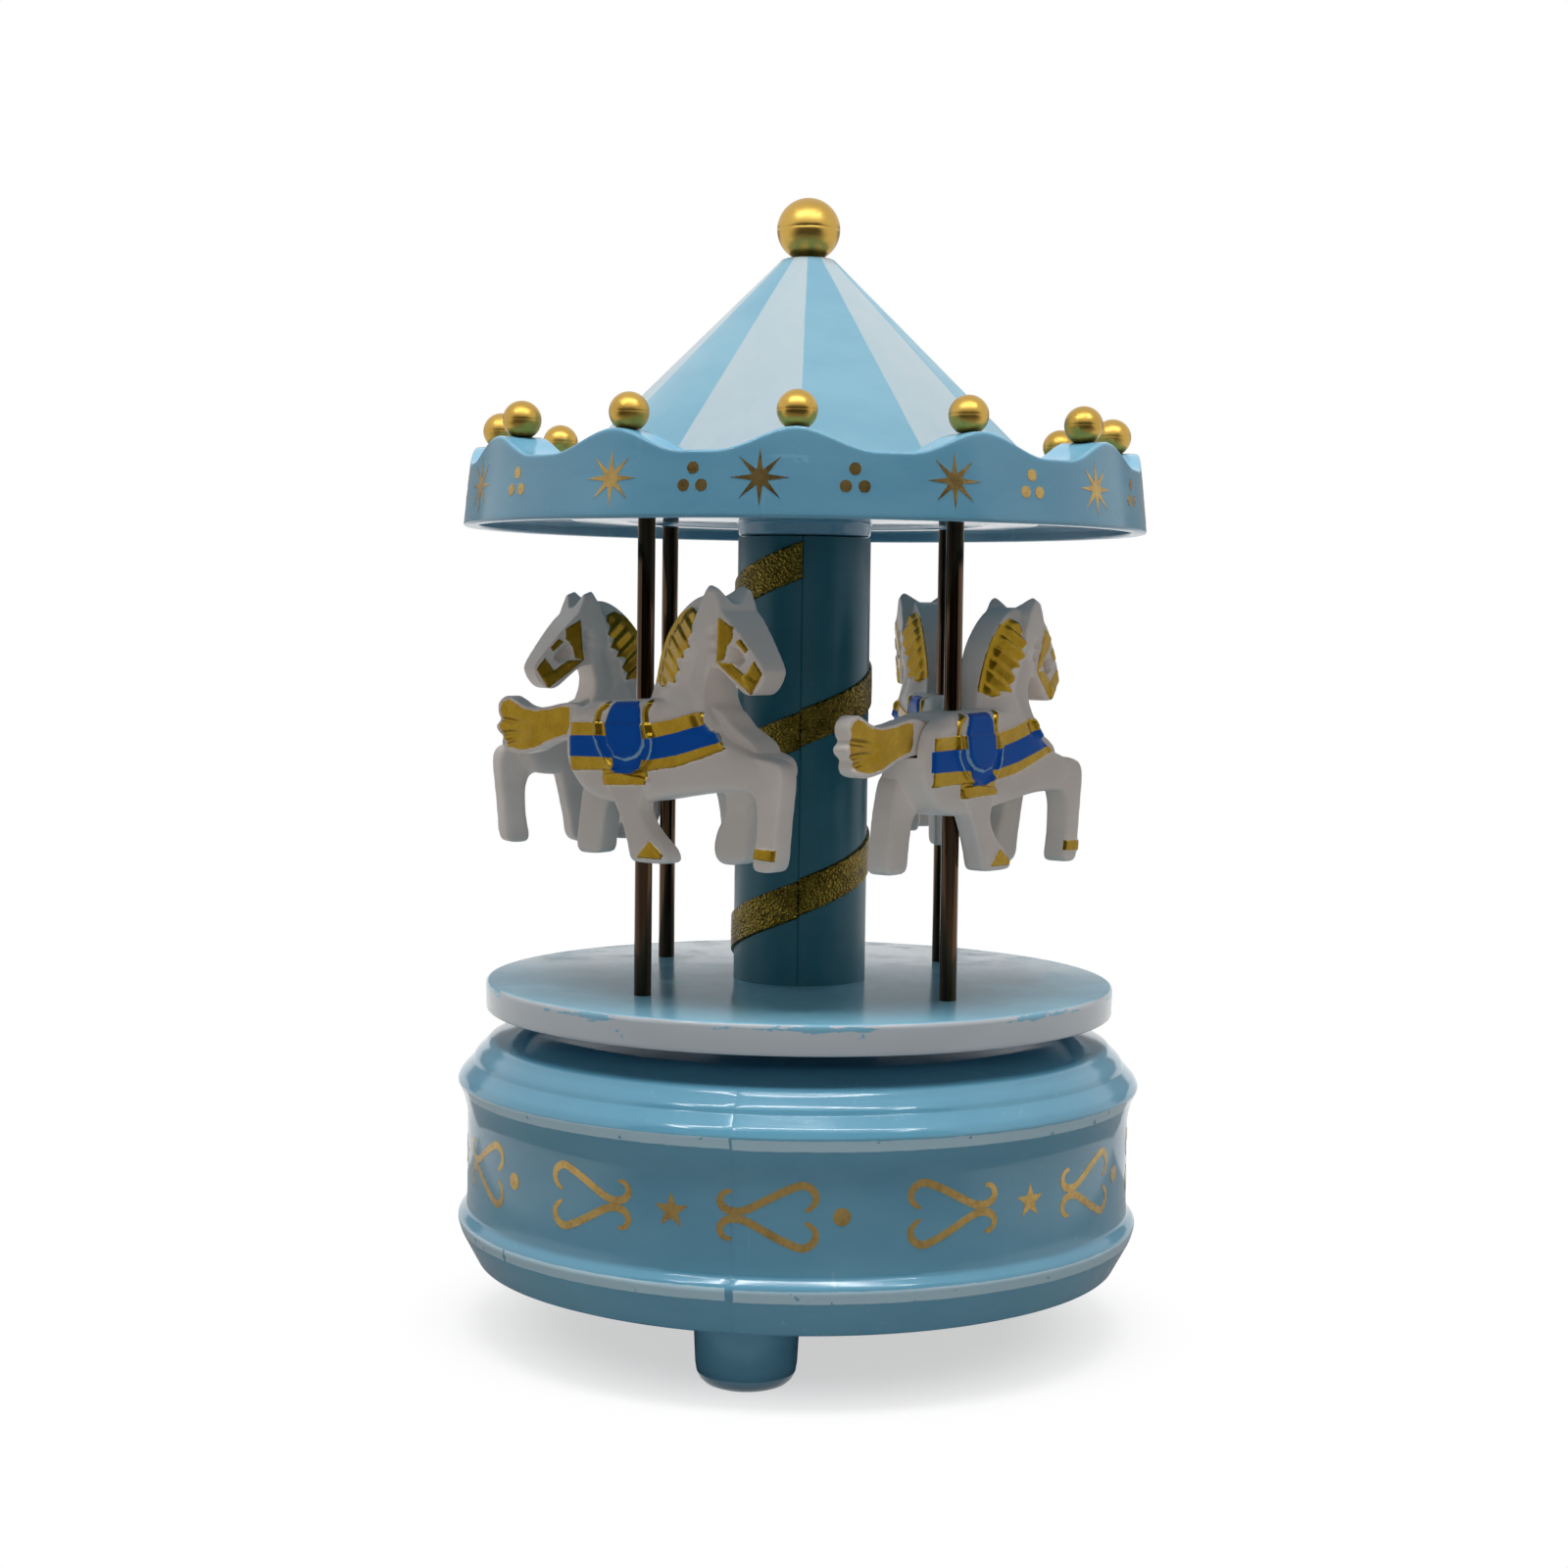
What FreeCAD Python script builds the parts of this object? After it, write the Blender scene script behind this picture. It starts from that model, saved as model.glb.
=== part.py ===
import FreeCAD
import Part
import math
import os

# Carousel music box, in millimetres.
# The origin is on the table under the middle of the base, +Z is up and -Y is the front.
# The carousel turns anticlockwise seen from above, the way its horses face.
# Turning it by hand the other way winds the spring, so there is no key.

# Clearances
RUNNING_GAP = 0.05
END_GAP = 0.3
SLIP_FIT = 0.15

# Feet
FOOT_COUNT = 3
FOOT_CIRCLE_R = 35.2
FOOT_FIRST_ANGLE = -99.2
FOOT_TOP_R = 7.3
FOOT_TIP_R = 6.8
FOOT_HEIGHT = 9.7
FOOT_EDGE_ROUND = 3.3
FOOT_PEG_R = 2.5
FOOT_PEG_LENGTH = 1.4

# Bottom cover
COVER_INSET = 1.3
COVER_FLANGE = 0.4
COVER_STEP = 1.6
COVER_SCREW_INSET = 6.25
COVER_SCREW_FIRST_ANGLE = 78.0
COVER_POST_R = 3.0

# Base drum
BASE_HEIGHT = 34.3
BASE_BODY_R = 48.75
LIP_RISE = 1.5
EDGE_INSET = 1.65
BASE_WALL = 2.5
SHOULDER_INSET = 4.35
SHOULDER_ROUND = 0.7
SHOULDER_DROP = 0.3
SHOULDER_MIDDLE = (0.42, 0.08)
DECK_THICKNESS = 2.4
LOWER_LIP_HEIGHT = 6.65
LOWER_LIP_SLOPE = 1.3
SKIRT_INSET = 0.5
SKIRT_DROP = 1.75
SKIRT_MIDDLE = (0.1, 0.75)
UPPER_LIP_HEIGHT = 26.85
UPPER_FLARE = 4.0
FLARE_MIDDLE = (0.2, 2.6)
NOSE_UNDER = (0.75, 1.85)
NOSE_MIDDLE = (0.18, 0.6)
BAND_TOP = (2.25, 2.55)
BAND_MIDDLE = (1.0, 1.4)
CREASE_INSET = 2.35
CREASE_DROP = 2.9
CAVITY_SHOULDER = 6.8

# Turntable
PLATFORM_LIFT = 2.5
PLATFORM_R = 46.2
PLATFORM_HEIGHT = 4.3
PLATFORM_PLATE = 2.0
PLATFORM_RIM_WALL = 2.2
PLATFORM_BOSS_R = 12.0
BUSH_R = 5.5
BUSH_FLANGE_R = 7.5
BUSH_FLANGE = 0.8
JOURNAL_R = 3.6
JOURNAL_LENGTH = 3.6
HUB_FLANGE_R = 9.0
TIE_ROD_R = 1.5
TIE_ROD_GRIP = 0.9

# Poles and column
POLE_COUNT = 4
POLE_R = 1.23
POLE_CIRCLE_R = 30.3
POLE_FIRST_ANGLE = -135.0
POLE_BOSS_R = 3.0
POLE_FLOOR = 0.8
COLUMN_R = 9.75
COLUMN_WALL = 1.6
COLUMN_HEIGHT = 65.1
COLUMN_SPIGOT = 2.0
COLUMN_SPIGOT_WALL = 1.5

# Canopy
CEILING_DROP = 2.1
CEILING_THICKNESS = 1.8
RIM_LIP = 1.3
RIM_HEIGHT = 11.9
RIM_LOW_R = 49.8
RIM_TAPER = 1.25
RIM_WALL = 2.2
RIM_CREST = 6.95
RIM_SHELF = 2.0
RIM_FLOOR_LIFT = 1.6
RIM_FLOOR = 1.8
RIM_FLOOR_LAP = 2.3
SCALLOP_COUNT = 12
SCALLOP_DEPTH = 3.1
ROOF_TO_RIM = 4.8
ROOF_TOP_R = 3.7
ROOF_HEIGHT = 33.1
ROOF_WALL = 1.6
BALL_R = 2.69
BALL_SEAT_R = 1.45
BALL_SETBACK = 3.75
BALL_PEG_R = 0.9
BALL_PEG_LENGTH = 3.0
FINIAL_R = 4.6
FINIAL_SEAT_R = 1.75

# Horses: outlines as (distance ahead of the pole, height above the hooves)
HOOF_LIFT = 19.4
HORSE_TURNS = [8.0, 8.0, -33.0, -16.0]
HORSE_DROPS = [0.0, 1.0, 0.0, 0.6]
TORSO_HALF = 3.7
NECK_HALF = 3.5
LEG_INSIDE = 1.3
LEG_OUTSIDE = 4.0
TAIL_THICKNESS = 2.3
TAIL_OFFSET = -1.1
EAR_NOTCH_HALF = 1.6
EAR_NOTCH_HEIGHT = 35.6
TORSO = [
    (-7.6, 21.3), (1.9, 22.0), (9.0, 21.8), (14.0, 20.0), (18.9, 15.6),
    (24.8, 13.9), (26.6, 12.0), (23.5, 10.7), (18.0, 10.5), (8.7, 9.4),
    (-3.2, 7.7), (-7.6, 9.2), (-10.7, 12.4), (-11.1, 16.0), (-10.2, 19.8),
]
NECK = [
    (3.5, 20.5), (4.8, 23.5), (6.5, 24.8), (7.2, 28.5), (8.8, 32.5), (10.8, 34.9),
    (12.9, 36.7), (14.8, 37.4), (16.3, 37.9), (16.6, 35.2), (19.7, 32.3), (22.2, 28.6),
    (22.6, 27.0), (21.6, 24.8), (19.5, 23.6), (17.6, 25.6), (15.4, 27.2), (13.4, 26.2),
    (13.1, 22.5), (14.0, 19.0),
]
OUTER_FORELEG = [
    (20.5, 13.5), (24.8, 13.6), (26.6, 12.0), (26.6, 0.0), (23.0, 0.0), (23.2, 8.0),
    (22.0, 10.8), (19.5, 11.2),
]
INNER_FORELEG = [
    (14.3, 11.5), (14.3, 7.0), (12.5, 3.6), (12.3, 1.4), (14.2, 0.0), (17.4, 0.6),
    (17.9, 3.0), (18.7, 7.2), (19.0, 11.5),
]
OUTER_HINDLEG = [
    (-3.5, 10.5), (-1.5, 6.0), (0.5, 2.1), (1.9, 0.0), (8.0, 0.0), (8.6, 1.2),
    (5.9, 4.5), (4.2, 7.0), (5.0, 10.5),
]
INNER_HINDLEG = [
    (-9.6, 12.5), (-12.8, 7.5), (-13.4, 4.4), (-13.7, 0.6), (-12.8, 0.0), (-9.6, 0.2),
    (-8.8, 4.4), (-7.6, 8.0), (-4.0, 9.5),
]
TAIL = [
    (-8.6, 20.6), (-12.0, 21.4), (-16.3, 20.3), (-20.0, 20.5), (-23.6, 22.2), (-26.0, 20.9), (-26.7, 17.6),
    (-25.3, 14.0), (-18.2, 14.1), (-11.6, 16.1), (-8.6, 16.9),
]

# Movement: plate, spring and crown wheel
DECK_TO_BEDPLATE = 3.0
BEDPLATE_THICKNESS = 2.5
BEDPLATE_INSET = 2.25
BEDPLATE_MARGIN = 2.0
BEDPLATE_BOSS_R = 3.0
BEDPLATE_BOSS_PLACES = [(-17.0, 13.0), (13.0, 20.0), (10.0, -20.0)]
STEM_R = 2.0
ARBOR_CORE_R = 2.8
STEM_PIVOT_R = 1.2
HOUSING_R = 14.0
HOUSING_WALL = 1.0
HOUSING_END = 1.2
HOUSING_DEPTH = 16.0
HOUSING_TO_BEDPLATE = 6.9
HOUSING_POST_R = 2.6
HOUSING_POST_ANGLES = [90.0, 210.0, 330.0]
HOUSING_LUG = 2.0
HOUSING_LUG_WIDTH = 4.0
SPRING_COVER = 1.2
SPRING_TURNS = 6
SPRING_STRIP = 0.4
SPRING_STEPS = 12
CROWN_TEETH = 36
CROWN_R = 17.8
CROWN_TOOTH_WIDTH = 2.8
CROWN_PLATE = 1.4
CROWN_TOOTH_HEIGHT = 1.7
CROWN_TOOTH_THICKNESS = 0.9
CROWN_HUB_R = 4.0

# Movement: pinned cylinder, which lies along +X, and its comb
PINION_TEETH = 12
PINION_ADDENDUM = 0.6
PINION_DEDENDUM = 1.0
PINION_WIDTH = 2.4
CROWN_TO_PINION = 0.39
CYLINDER_R = 6.0
NOTE_COUNT = 18
NOTE_PITCH = 1.0
PINS_PER_NOTE = 5
PIN_R = 0.22
PIN_HEIGHT = 0.4
PIN_ROOT = 0.5
GOLDEN_ANGLE = 137.5
CYLINDER_ARBOR_R = 1.0
BEARING_THICKNESS = 1.0
BEARING_WIDTH = 6.0
BEARING_FOOT = 1.2
BEARING_FOOT_LENGTH = 2.6
BEARING_BELOW_AXIS = 3.0
COMB_THICKNESS = 1.2
COMB_TIP_GAP = 0.2
COMB_TOOTH_LENGTH = 8.4
COMB_BODY_LENGTH = 9.0
COMB_SLOT = 0.32
COMB_SEAT_SETBACK = 1.5

# Movement: speed-up gear and air-brake governor; the shares are of the tooth pitch
TOOTH_ROOT_SHARE = 0.21
TOOTH_TIP_SHARE = 0.11
THREAD_ROOT_SHARE = 0.15
THREAD_TIP_SHARE = 0.07
THREAD_ADDENDUM = 0.36
THREAD_SUNK = 0.17
GEAR_MODULE = 0.5
GEAR_ADDENDUM = 0.45
GEAR_DEDENDUM = 0.65
WHEEL_TEETH = 40
WHEEL_WIDTH = 1.2
WHEEL_TO_CYLINDER = 1.2
SMALL_PINION_TEETH = 10
WORM_WHEEL_TEETH = 20
WORM_WHEEL_WIDTH = 0.7
WORM_STARTS = 2
WORM_R = 1.5
WORM_TO_WHEEL = 5.2
WORM_HALF_LENGTH = 3.6
SMALL_ARBOR_R = 1.0
PIVOT_R = 0.6
FLY_R = 4.5
FLY_HEIGHT = 4.0
FLY_BLADE = 0.6
FLY_HUB_R = 1.3
FRAME_PLATE = 1.2
FRAME_CHEEK = 1.0
FRAME_CHEEK_HALF = 2.2
FRAME_TO_WORM = 3.0
GOVERNOR_SCREW_OFFSETS = [(-0.6, -1.9), (4.2, -1.9)]

# Screws
SCREW_R = 1.2
SCREW_HEAD_R = 2.2
SCREW_HEAD = 1.3
SCREW_GRIP = 5.0

# Levels worked out from the sizes above
V = FreeCAD.Vector
UP = V(0, 0, 1)
COVER_BOTTOM = FOOT_HEIGHT
BASE_BOTTOM = COVER_BOTTOM + COVER_FLANGE
COVER_TOP = BASE_BOTTOM + COVER_STEP
DECK_TOP = BASE_BOTTOM + BASE_HEIGHT
DECK_UNDER = DECK_TOP - DECK_THICKNESS
CAVITY_R = BASE_BODY_R - BASE_WALL
BASE_LIP_R = BASE_BODY_R + LIP_RISE
BASE_EDGE_R = BASE_BODY_R - EDGE_INSET
CREASE_R = BASE_BODY_R - CREASE_INSET
DECK_R = BASE_BODY_R - SHOULDER_INSET
COVER_R = BASE_EDGE_R - COVER_INSET
COVER_SCREW_CIRCLE_R = CAVITY_R - COVER_SCREW_INSET
BEDPLATE_R = CAVITY_R - BEDPLATE_INSET
PLATFORM_BOTTOM = DECK_TOP + PLATFORM_LIFT
PLATFORM_TOP = PLATFORM_BOTTOM + PLATFORM_HEIGHT
HUB_BOTTOM = DECK_TOP + BUSH_FLANGE + RUNNING_GAP
STEM_TOP = PLATFORM_BOTTOM - TIE_ROD_GRIP
COLUMN_TOP = PLATFORM_TOP + COLUMN_HEIGHT
CEILING_R = RIM_LOW_R - RIM_WALL
RIM_TOP_R = RIM_LOW_R - RIM_TAPER
RIM_INNER_R = RIM_TOP_R - RIM_CREST
RIM_SHELF_R = CEILING_R - RIM_SHELF
ROOF_BASE_R = RIM_INNER_R - ROOF_TO_RIM
RIM_FLOOR_INNER_R = ROOF_BASE_R - RIM_FLOOR_LAP
BALL_CIRCLE_R = RIM_TOP_R - BALL_SETBACK
CEILING_UNDER = COLUMN_TOP + CEILING_DROP
CEILING_TOP = CEILING_UNDER + CEILING_THICKNESS
RIM_BOTTOM = CEILING_UNDER - RIM_LIP
RIM_TOP = RIM_BOTTOM + RIM_HEIGHT
RIM_FLOOR_TOP = CEILING_TOP + RIM_FLOOR_LIFT + RIM_FLOOR
ROOF_TOP = RIM_FLOOR_TOP + ROOF_HEIGHT
FINIAL_CENTRE = ROOF_TOP + math.sqrt(FINIAL_R ** 2 - FINIAL_SEAT_R ** 2)
HOOF_Z = PLATFORM_TOP + HOOF_LIFT

BEDPLATE_TOP = DECK_UNDER - DECK_TO_BEDPLATE
BEDPLATE_UNDER = BEDPLATE_TOP - BEDPLATE_THICKNESS
HOUSING_TOP = BEDPLATE_UNDER - HOUSING_TO_BEDPLATE
HOUSING_BOTTOM = HOUSING_TOP - HOUSING_DEPTH
HOUSING_POST_CIRCLE_R = CROWN_R + HOUSING_POST_R + 2 * END_GAP
CROWN_TOOTH_INNER_R = CROWN_R - CROWN_TOOTH_WIDTH
CROWN_PITCH_R = (CROWN_R + CROWN_TOOTH_INNER_R) / 2
PINION_PITCH_R = CROWN_PITCH_R * PINION_TEETH / CROWN_TEETH
CROWN_TOOTH_TIP = HOUSING_TOP + 2 * END_GAP
CROWN_UNDER = CROWN_TOOTH_TIP + CROWN_TOOTH_HEIGHT
AXIS_Z = CROWN_UNDER - CROWN_TO_PINION - PINION_ADDENDUM - PINION_PITCH_R
INNER_BEARING_X = CROWN_R + 2 * END_GAP
CYLINDER_START = INNER_BEARING_X + BEARING_THICKNESS + 2 * END_GAP
CYLINDER_END = CYLINDER_START + NOTE_COUNT * NOTE_PITCH
WHEEL_START = CYLINDER_END + WHEEL_TO_CYLINDER
WHEEL_END = WHEEL_START + WHEEL_WIDTH
WHEEL_PITCH_R = GEAR_MODULE * WHEEL_TEETH / 2
SMALL_PINION_PITCH_R = GEAR_MODULE * SMALL_PINION_TEETH / 2
WORM_WHEEL_PITCH_R = GEAR_MODULE * WORM_WHEEL_TEETH / 2
SMALL_AXIS_Y = -(WHEEL_PITCH_R + SMALL_PINION_PITCH_R)
WORM_Y = SMALL_AXIS_Y - WORM_WHEEL_PITCH_R - WORM_R
WORM_X = WHEEL_START - WORM_TO_WHEEL
OUTER_BEARING_X = WHEEL_END + 3 * END_GAP
FRAME_LEFT = WORM_X - FRAME_TO_WORM
FRAME_RIGHT = OUTER_BEARING_X + FRAME_CHEEK
FLY_TOP = AXIS_Z - WORM_WHEEL_PITCH_R - GEAR_ADDENDUM - 3 * END_GAP
FLY_BOTTOM = FLY_TOP - FLY_HEIGHT
FRAME_FLOOR_TOP = FLY_BOTTOM - 2 * END_GAP
COMB_TIP_Y = CYLINDER_R + PIN_HEIGHT + COMB_TIP_GAP
COMB_BODY_Y = COMB_TIP_Y + COMB_TOOTH_LENGTH
COMB_BACK_Y = COMB_BODY_Y + COMB_BODY_LENGTH
BEDPLATE_BACK = HOUSING_POST_CIRCLE_R + BEDPLATE_MARGIN
BEDPLATE_SIDE = COMB_BACK_Y + BEDPLATE_MARGIN
COMB_UNDER = AXIS_Z - COMB_THICKNESS / 2
COMB_SEAT_Z = COMB_UNDER + COMB_THICKNESS

os.makedirs("parts", exist_ok=True)


def save(name, shape):
    """Write one piece, and print what it is."""
    shape.exportStep("parts/" + name + ".step")
    state = "valid" if shape.isValid() else "NOT VALID"
    print(name, len(shape.Solids), "solid", state, round(shape.Volume, 1))


def polar(radius, angle, z=0.0):
    """A point at a radius and an angle in degrees about the centre axis."""
    turn = math.radians(angle)
    return V(radius * math.cos(turn), radius * math.sin(turn), z)


def around(count, first=0.0):
    """Evenly spaced angles in degrees."""
    return [first + 360.0 * i / count for i in range(count)]


def rod(radius, low, high, place=V(0, 0, 0)):
    """An upright cylinder between two heights."""
    return Part.makeCylinder(radius, high - low, V(place.x, place.y, low))


def rod_x(radius, start, end, y, z):
    """A cylinder along +X."""
    return Part.makeCylinder(radius, end - start, V(start, y, z), V(1, 0, 0))


def tube(outer, inner, low, high):
    """An upright ring about the centre axis."""
    return rod(outer, low, high).cut(rod(inner, low, high))


def block(x, y, z):
    """A box from three (low, high) pairs."""
    return Part.makeBox(x[1] - x[0], y[1] - y[0], z[1] - z[0], V(x[0], y[0], z[0]))


def turned(points):
    """A solid of revolution from (radius, height) corners."""
    corners = [V(r, 0, z) for r, z in points]
    face = Part.Face(Part.makePolygon(corners + corners[:1]))
    return face.revolve(V(0, 0, 0), UP, 360)


def screw(place, under_head, direction=1):
    """A round-headed screw whose shank leaves the head along +Z or -Z."""
    shank_end = under_head + direction * SCREW_GRIP
    head_end = under_head - direction * SCREW_HEAD
    shank = rod(SCREW_R, min(under_head, shank_end), max(under_head, shank_end), place)
    head = rod(SCREW_HEAD_R, min(under_head, head_end), max(under_head, head_end), place)
    return shank.fuse(head).removeSplitter()


def toothed(teeth, pitch_r, addendum, dedendum, start, end, first_angle):
    """A spur gear about the X axis through the origin, with one tooth at first_angle from +Y."""
    pitch = 2 * math.pi * pitch_r / teeth
    root_r = pitch_r - dedendum
    tip_r = pitch_r + addendum
    root_half = TOOTH_ROOT_SHARE * pitch / root_r
    tip_half = TOOTH_TIP_SHARE * pitch / tip_r
    tooth = [(root_r, -root_half), (tip_r, -tip_half), (tip_r, tip_half), (root_r, root_half)]
    corners = []
    for angle in around(teeth, first_angle):
        for radius, lean in tooth:
            turn = math.radians(angle) + lean
            corners.append(V(start, radius * math.cos(turn), radius * math.sin(turn)))
    face = Part.Face(Part.makePolygon(corners + corners[:1]))
    return face.extrude(V(end - start, 0, 0))


def feet():
    """Round feet with a peg that is glued into the cover."""
    for i, angle in enumerate(around(FOOT_COUNT, FOOT_FIRST_ANGLE)):
        body = Part.makeCone(FOOT_TIP_R, FOOT_TOP_R, FOOT_HEIGHT)
        tip_edge = [e for e in body.Edges if e.BoundBox.ZMax < FOOT_HEIGHT / 2 and e.Closed]
        body = body.makeFillet(FOOT_EDGE_ROUND, tip_edge)
        foot = body.fuse(rod(FOOT_PEG_R, FOOT_HEIGHT, FOOT_HEIGHT + FOOT_PEG_LENGTH)).removeSplitter()
        foot.translate(polar(FOOT_CIRCLE_R, angle))
        save("foot_%d" % (i + 1), foot)


def cover_screw_places():
    """Where the three cover screws go in."""
    return [polar(COVER_SCREW_CIRCLE_R, a) for a in around(FOOT_COUNT, COVER_SCREW_FIRST_ANGLE)]


def bottom_cover():
    """Stepped disc that closes the drum, with screw and foot holes."""
    cover = rod(COVER_R, COVER_BOTTOM, BASE_BOTTOM).fuse(rod(CAVITY_R - SLIP_FIT, BASE_BOTTOM, COVER_TOP))
    screws = []
    for place in cover_screw_places():
        screws.append(screw(place, COVER_BOTTOM + SCREW_HEAD))
        cover = cover.cut(screws[-1])
    for angle in around(FOOT_COUNT, FOOT_FIRST_ANGLE):
        peg_top = COVER_BOTTOM + FOOT_PEG_LENGTH
        cover = cover.cut(rod(FOOT_PEG_R, COVER_BOTTOM, peg_top, polar(FOOT_CIRCLE_R, angle)))
    save("bottom_cover", cover.removeSplitter())
    save("cover_screws", Part.makeCompound(screws))
    return screws


def base_outline():
    """Outer outline of the drum, from its lower edge up to the deck's middle."""
    lower = BASE_BOTTOM + LOWER_LIP_HEIGHT
    upper = BASE_BOTTOM + UPPER_LIP_HEIGHT
    crease = DECK_TOP - CREASE_DROP

    def at(radius, height):
        return V(radius, 0, height)

    def line(a, b):
        return Part.LineSegment(a, b).toShape()

    def arc(a, b, c):
        return Part.Arc(a, b, c).toShape()

    edge = at(BASE_EDGE_R, BASE_BOTTOM)
    skirt = at(BASE_LIP_R - SKIRT_INSET, lower - SKIRT_DROP)
    skirt_middle = at(BASE_LIP_R - SKIRT_MIDDLE[0], lower - SKIRT_MIDDLE[1])
    lower_nose = at(BASE_LIP_R, lower)
    body_low = at(BASE_BODY_R, lower + LOWER_LIP_SLOPE)
    body_high = at(BASE_BODY_R, upper - UPPER_FLARE)
    flare_middle = at(BASE_BODY_R + FLARE_MIDDLE[0], upper - FLARE_MIDDLE[1])
    nose_under = at(BASE_LIP_R - NOSE_UNDER[0], upper - NOSE_UNDER[1])
    nose_middle = at(BASE_LIP_R - NOSE_MIDDLE[0], upper - NOSE_MIDDLE[1])
    upper_nose = at(BASE_LIP_R, upper)
    band_middle = at(BASE_LIP_R - BAND_MIDDLE[0], upper + BAND_MIDDLE[1])
    band_top = at(BASE_LIP_R - BAND_TOP[0], upper + BAND_TOP[1])
    crease_point = at(CREASE_R, crease)
    shoulder = at(DECK_R + SHOULDER_ROUND, DECK_TOP - SHOULDER_DROP)
    shoulder_round = at(DECK_R + SHOULDER_MIDDLE[0], DECK_TOP - SHOULDER_MIDDLE[1])
    deck_edge = at(DECK_R, DECK_TOP)
    middle = at(0, DECK_TOP)
    floor = at(0, BASE_BOTTOM)
    return Part.Wire([
        line(edge, skirt),
        arc(skirt, skirt_middle, lower_nose),
        line(lower_nose, body_low),
        line(body_low, body_high),
        arc(body_high, flare_middle, nose_under),
        arc(nose_under, nose_middle, upper_nose),
        arc(upper_nose, band_middle, band_top),
        line(band_top, crease_point),
        line(crease_point, shoulder),
        arc(shoulder, shoulder_round, deck_edge),
        line(deck_edge, middle),
        line(middle, floor),
        line(floor, edge),
    ])


def base_shell(cover_screws, bedplate_screws):
    """Hollow drum with posts for the cover and bosses for the movement."""
    shoulder_start = DECK_TOP - CAVITY_SHOULDER
    cavity = turned([
        (0, BASE_BOTTOM),
        (CAVITY_R, BASE_BOTTOM),
        (CAVITY_R, shoulder_start),
        (DECK_R - DECK_THICKNESS, DECK_UNDER),
        (0, DECK_UNDER),
    ])
    shell = Part.Face(base_outline()).revolve(V(0, 0, 0), UP, 360).cut(cavity)
    posts = [rod(COVER_POST_R, COVER_TOP, DECK_UNDER, p) for p in cover_screw_places()]
    bosses = [rod(BEDPLATE_BOSS_R, BEDPLATE_TOP, DECK_UNDER, V(x, y, 0)) for x, y in BEDPLATE_BOSS_PLACES]
    shell = shell.fuse(posts + bosses)
    shell = shell.cut([rod(BUSH_R, DECK_UNDER, DECK_TOP)] + cover_screws + bedplate_screws)
    save("base_shell", shell.removeSplitter())


def turning_bearing():
    """Flanged bush in the deck, and the hub that turns in it."""
    bush = rod(BUSH_R, DECK_UNDER, DECK_TOP).fuse(rod(BUSH_FLANGE_R, DECK_TOP, DECK_TOP + BUSH_FLANGE))
    bush = bush.cut(rod(JOURNAL_R + RUNNING_GAP, DECK_UNDER, DECK_TOP + BUSH_FLANGE))
    save("deck_bush", bush.removeSplitter())

    journal_end = HUB_BOTTOM - JOURNAL_LENGTH
    hub = rod(HUB_FLANGE_R, HUB_BOTTOM, PLATFORM_BOTTOM).fuse(rod(JOURNAL_R, journal_end, HUB_BOTTOM))
    hub = hub.cut(rod(STEM_R, journal_end, STEM_TOP))
    hub = hub.cut(rod(TIE_ROD_R, STEM_TOP, PLATFORM_BOTTOM))
    save("platform_hub", hub.removeSplitter())
    save("tie_rod", rod(TIE_ROD_R, STEM_TOP, FINIAL_CENTRE))


def platform():
    """Tray-shaped turntable with bosses for the hub and the poles."""
    plate_under = PLATFORM_TOP - PLATFORM_PLATE
    tray = rod(PLATFORM_R, PLATFORM_BOTTOM, PLATFORM_TOP)
    tray = tray.cut(rod(PLATFORM_R - PLATFORM_RIM_WALL, PLATFORM_BOTTOM, plate_under))
    boss = rod(PLATFORM_BOSS_R, PLATFORM_BOTTOM, plate_under)
    pole_bosses = [rod(POLE_BOSS_R, PLATFORM_BOTTOM, plate_under, p) for p in pole_places()]
    spigot_r = COLUMN_R - COLUMN_WALL - SLIP_FIT
    spigot = tube(spigot_r, spigot_r - COLUMN_SPIGOT_WALL, PLATFORM_TOP, PLATFORM_TOP + COLUMN_SPIGOT)
    tray = tray.fuse([boss, spigot] + pole_bosses)
    holes = [rod(POLE_R, PLATFORM_BOTTOM + POLE_FLOOR, PLATFORM_TOP, p) for p in pole_places()]
    holes.append(rod(TIE_ROD_R, PLATFORM_BOTTOM, PLATFORM_TOP))
    save("platform", tray.cut(holes).removeSplitter())


def pole_places():
    """The four poles' feet, seen from above."""
    return [polar(POLE_CIRCLE_R, a) for a in around(POLE_COUNT, POLE_FIRST_ANGLE)]


def poles():
    """Straight poles from the turntable to the ceiling."""
    for i, place in enumerate(pole_places()):
        save("pole_%d" % (i + 1), rod(POLE_R, PLATFORM_BOTTOM + POLE_FLOOR, CEILING_TOP, place))


def column():
    """Centre column in two halves that meet at the front and the back."""
    whole = tube(COLUMN_R, COLUMN_R - COLUMN_WALL, PLATFORM_TOP, COLUMN_TOP)
    span = (-COLUMN_R, COLUMN_R)
    heights = (PLATFORM_TOP, COLUMN_TOP)
    save("column_half_left", whole.common(block((-COLUMN_R, 0), span, heights)))
    save("column_half_right", whole.common(block((0, COLUMN_R), span, heights)))


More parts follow.
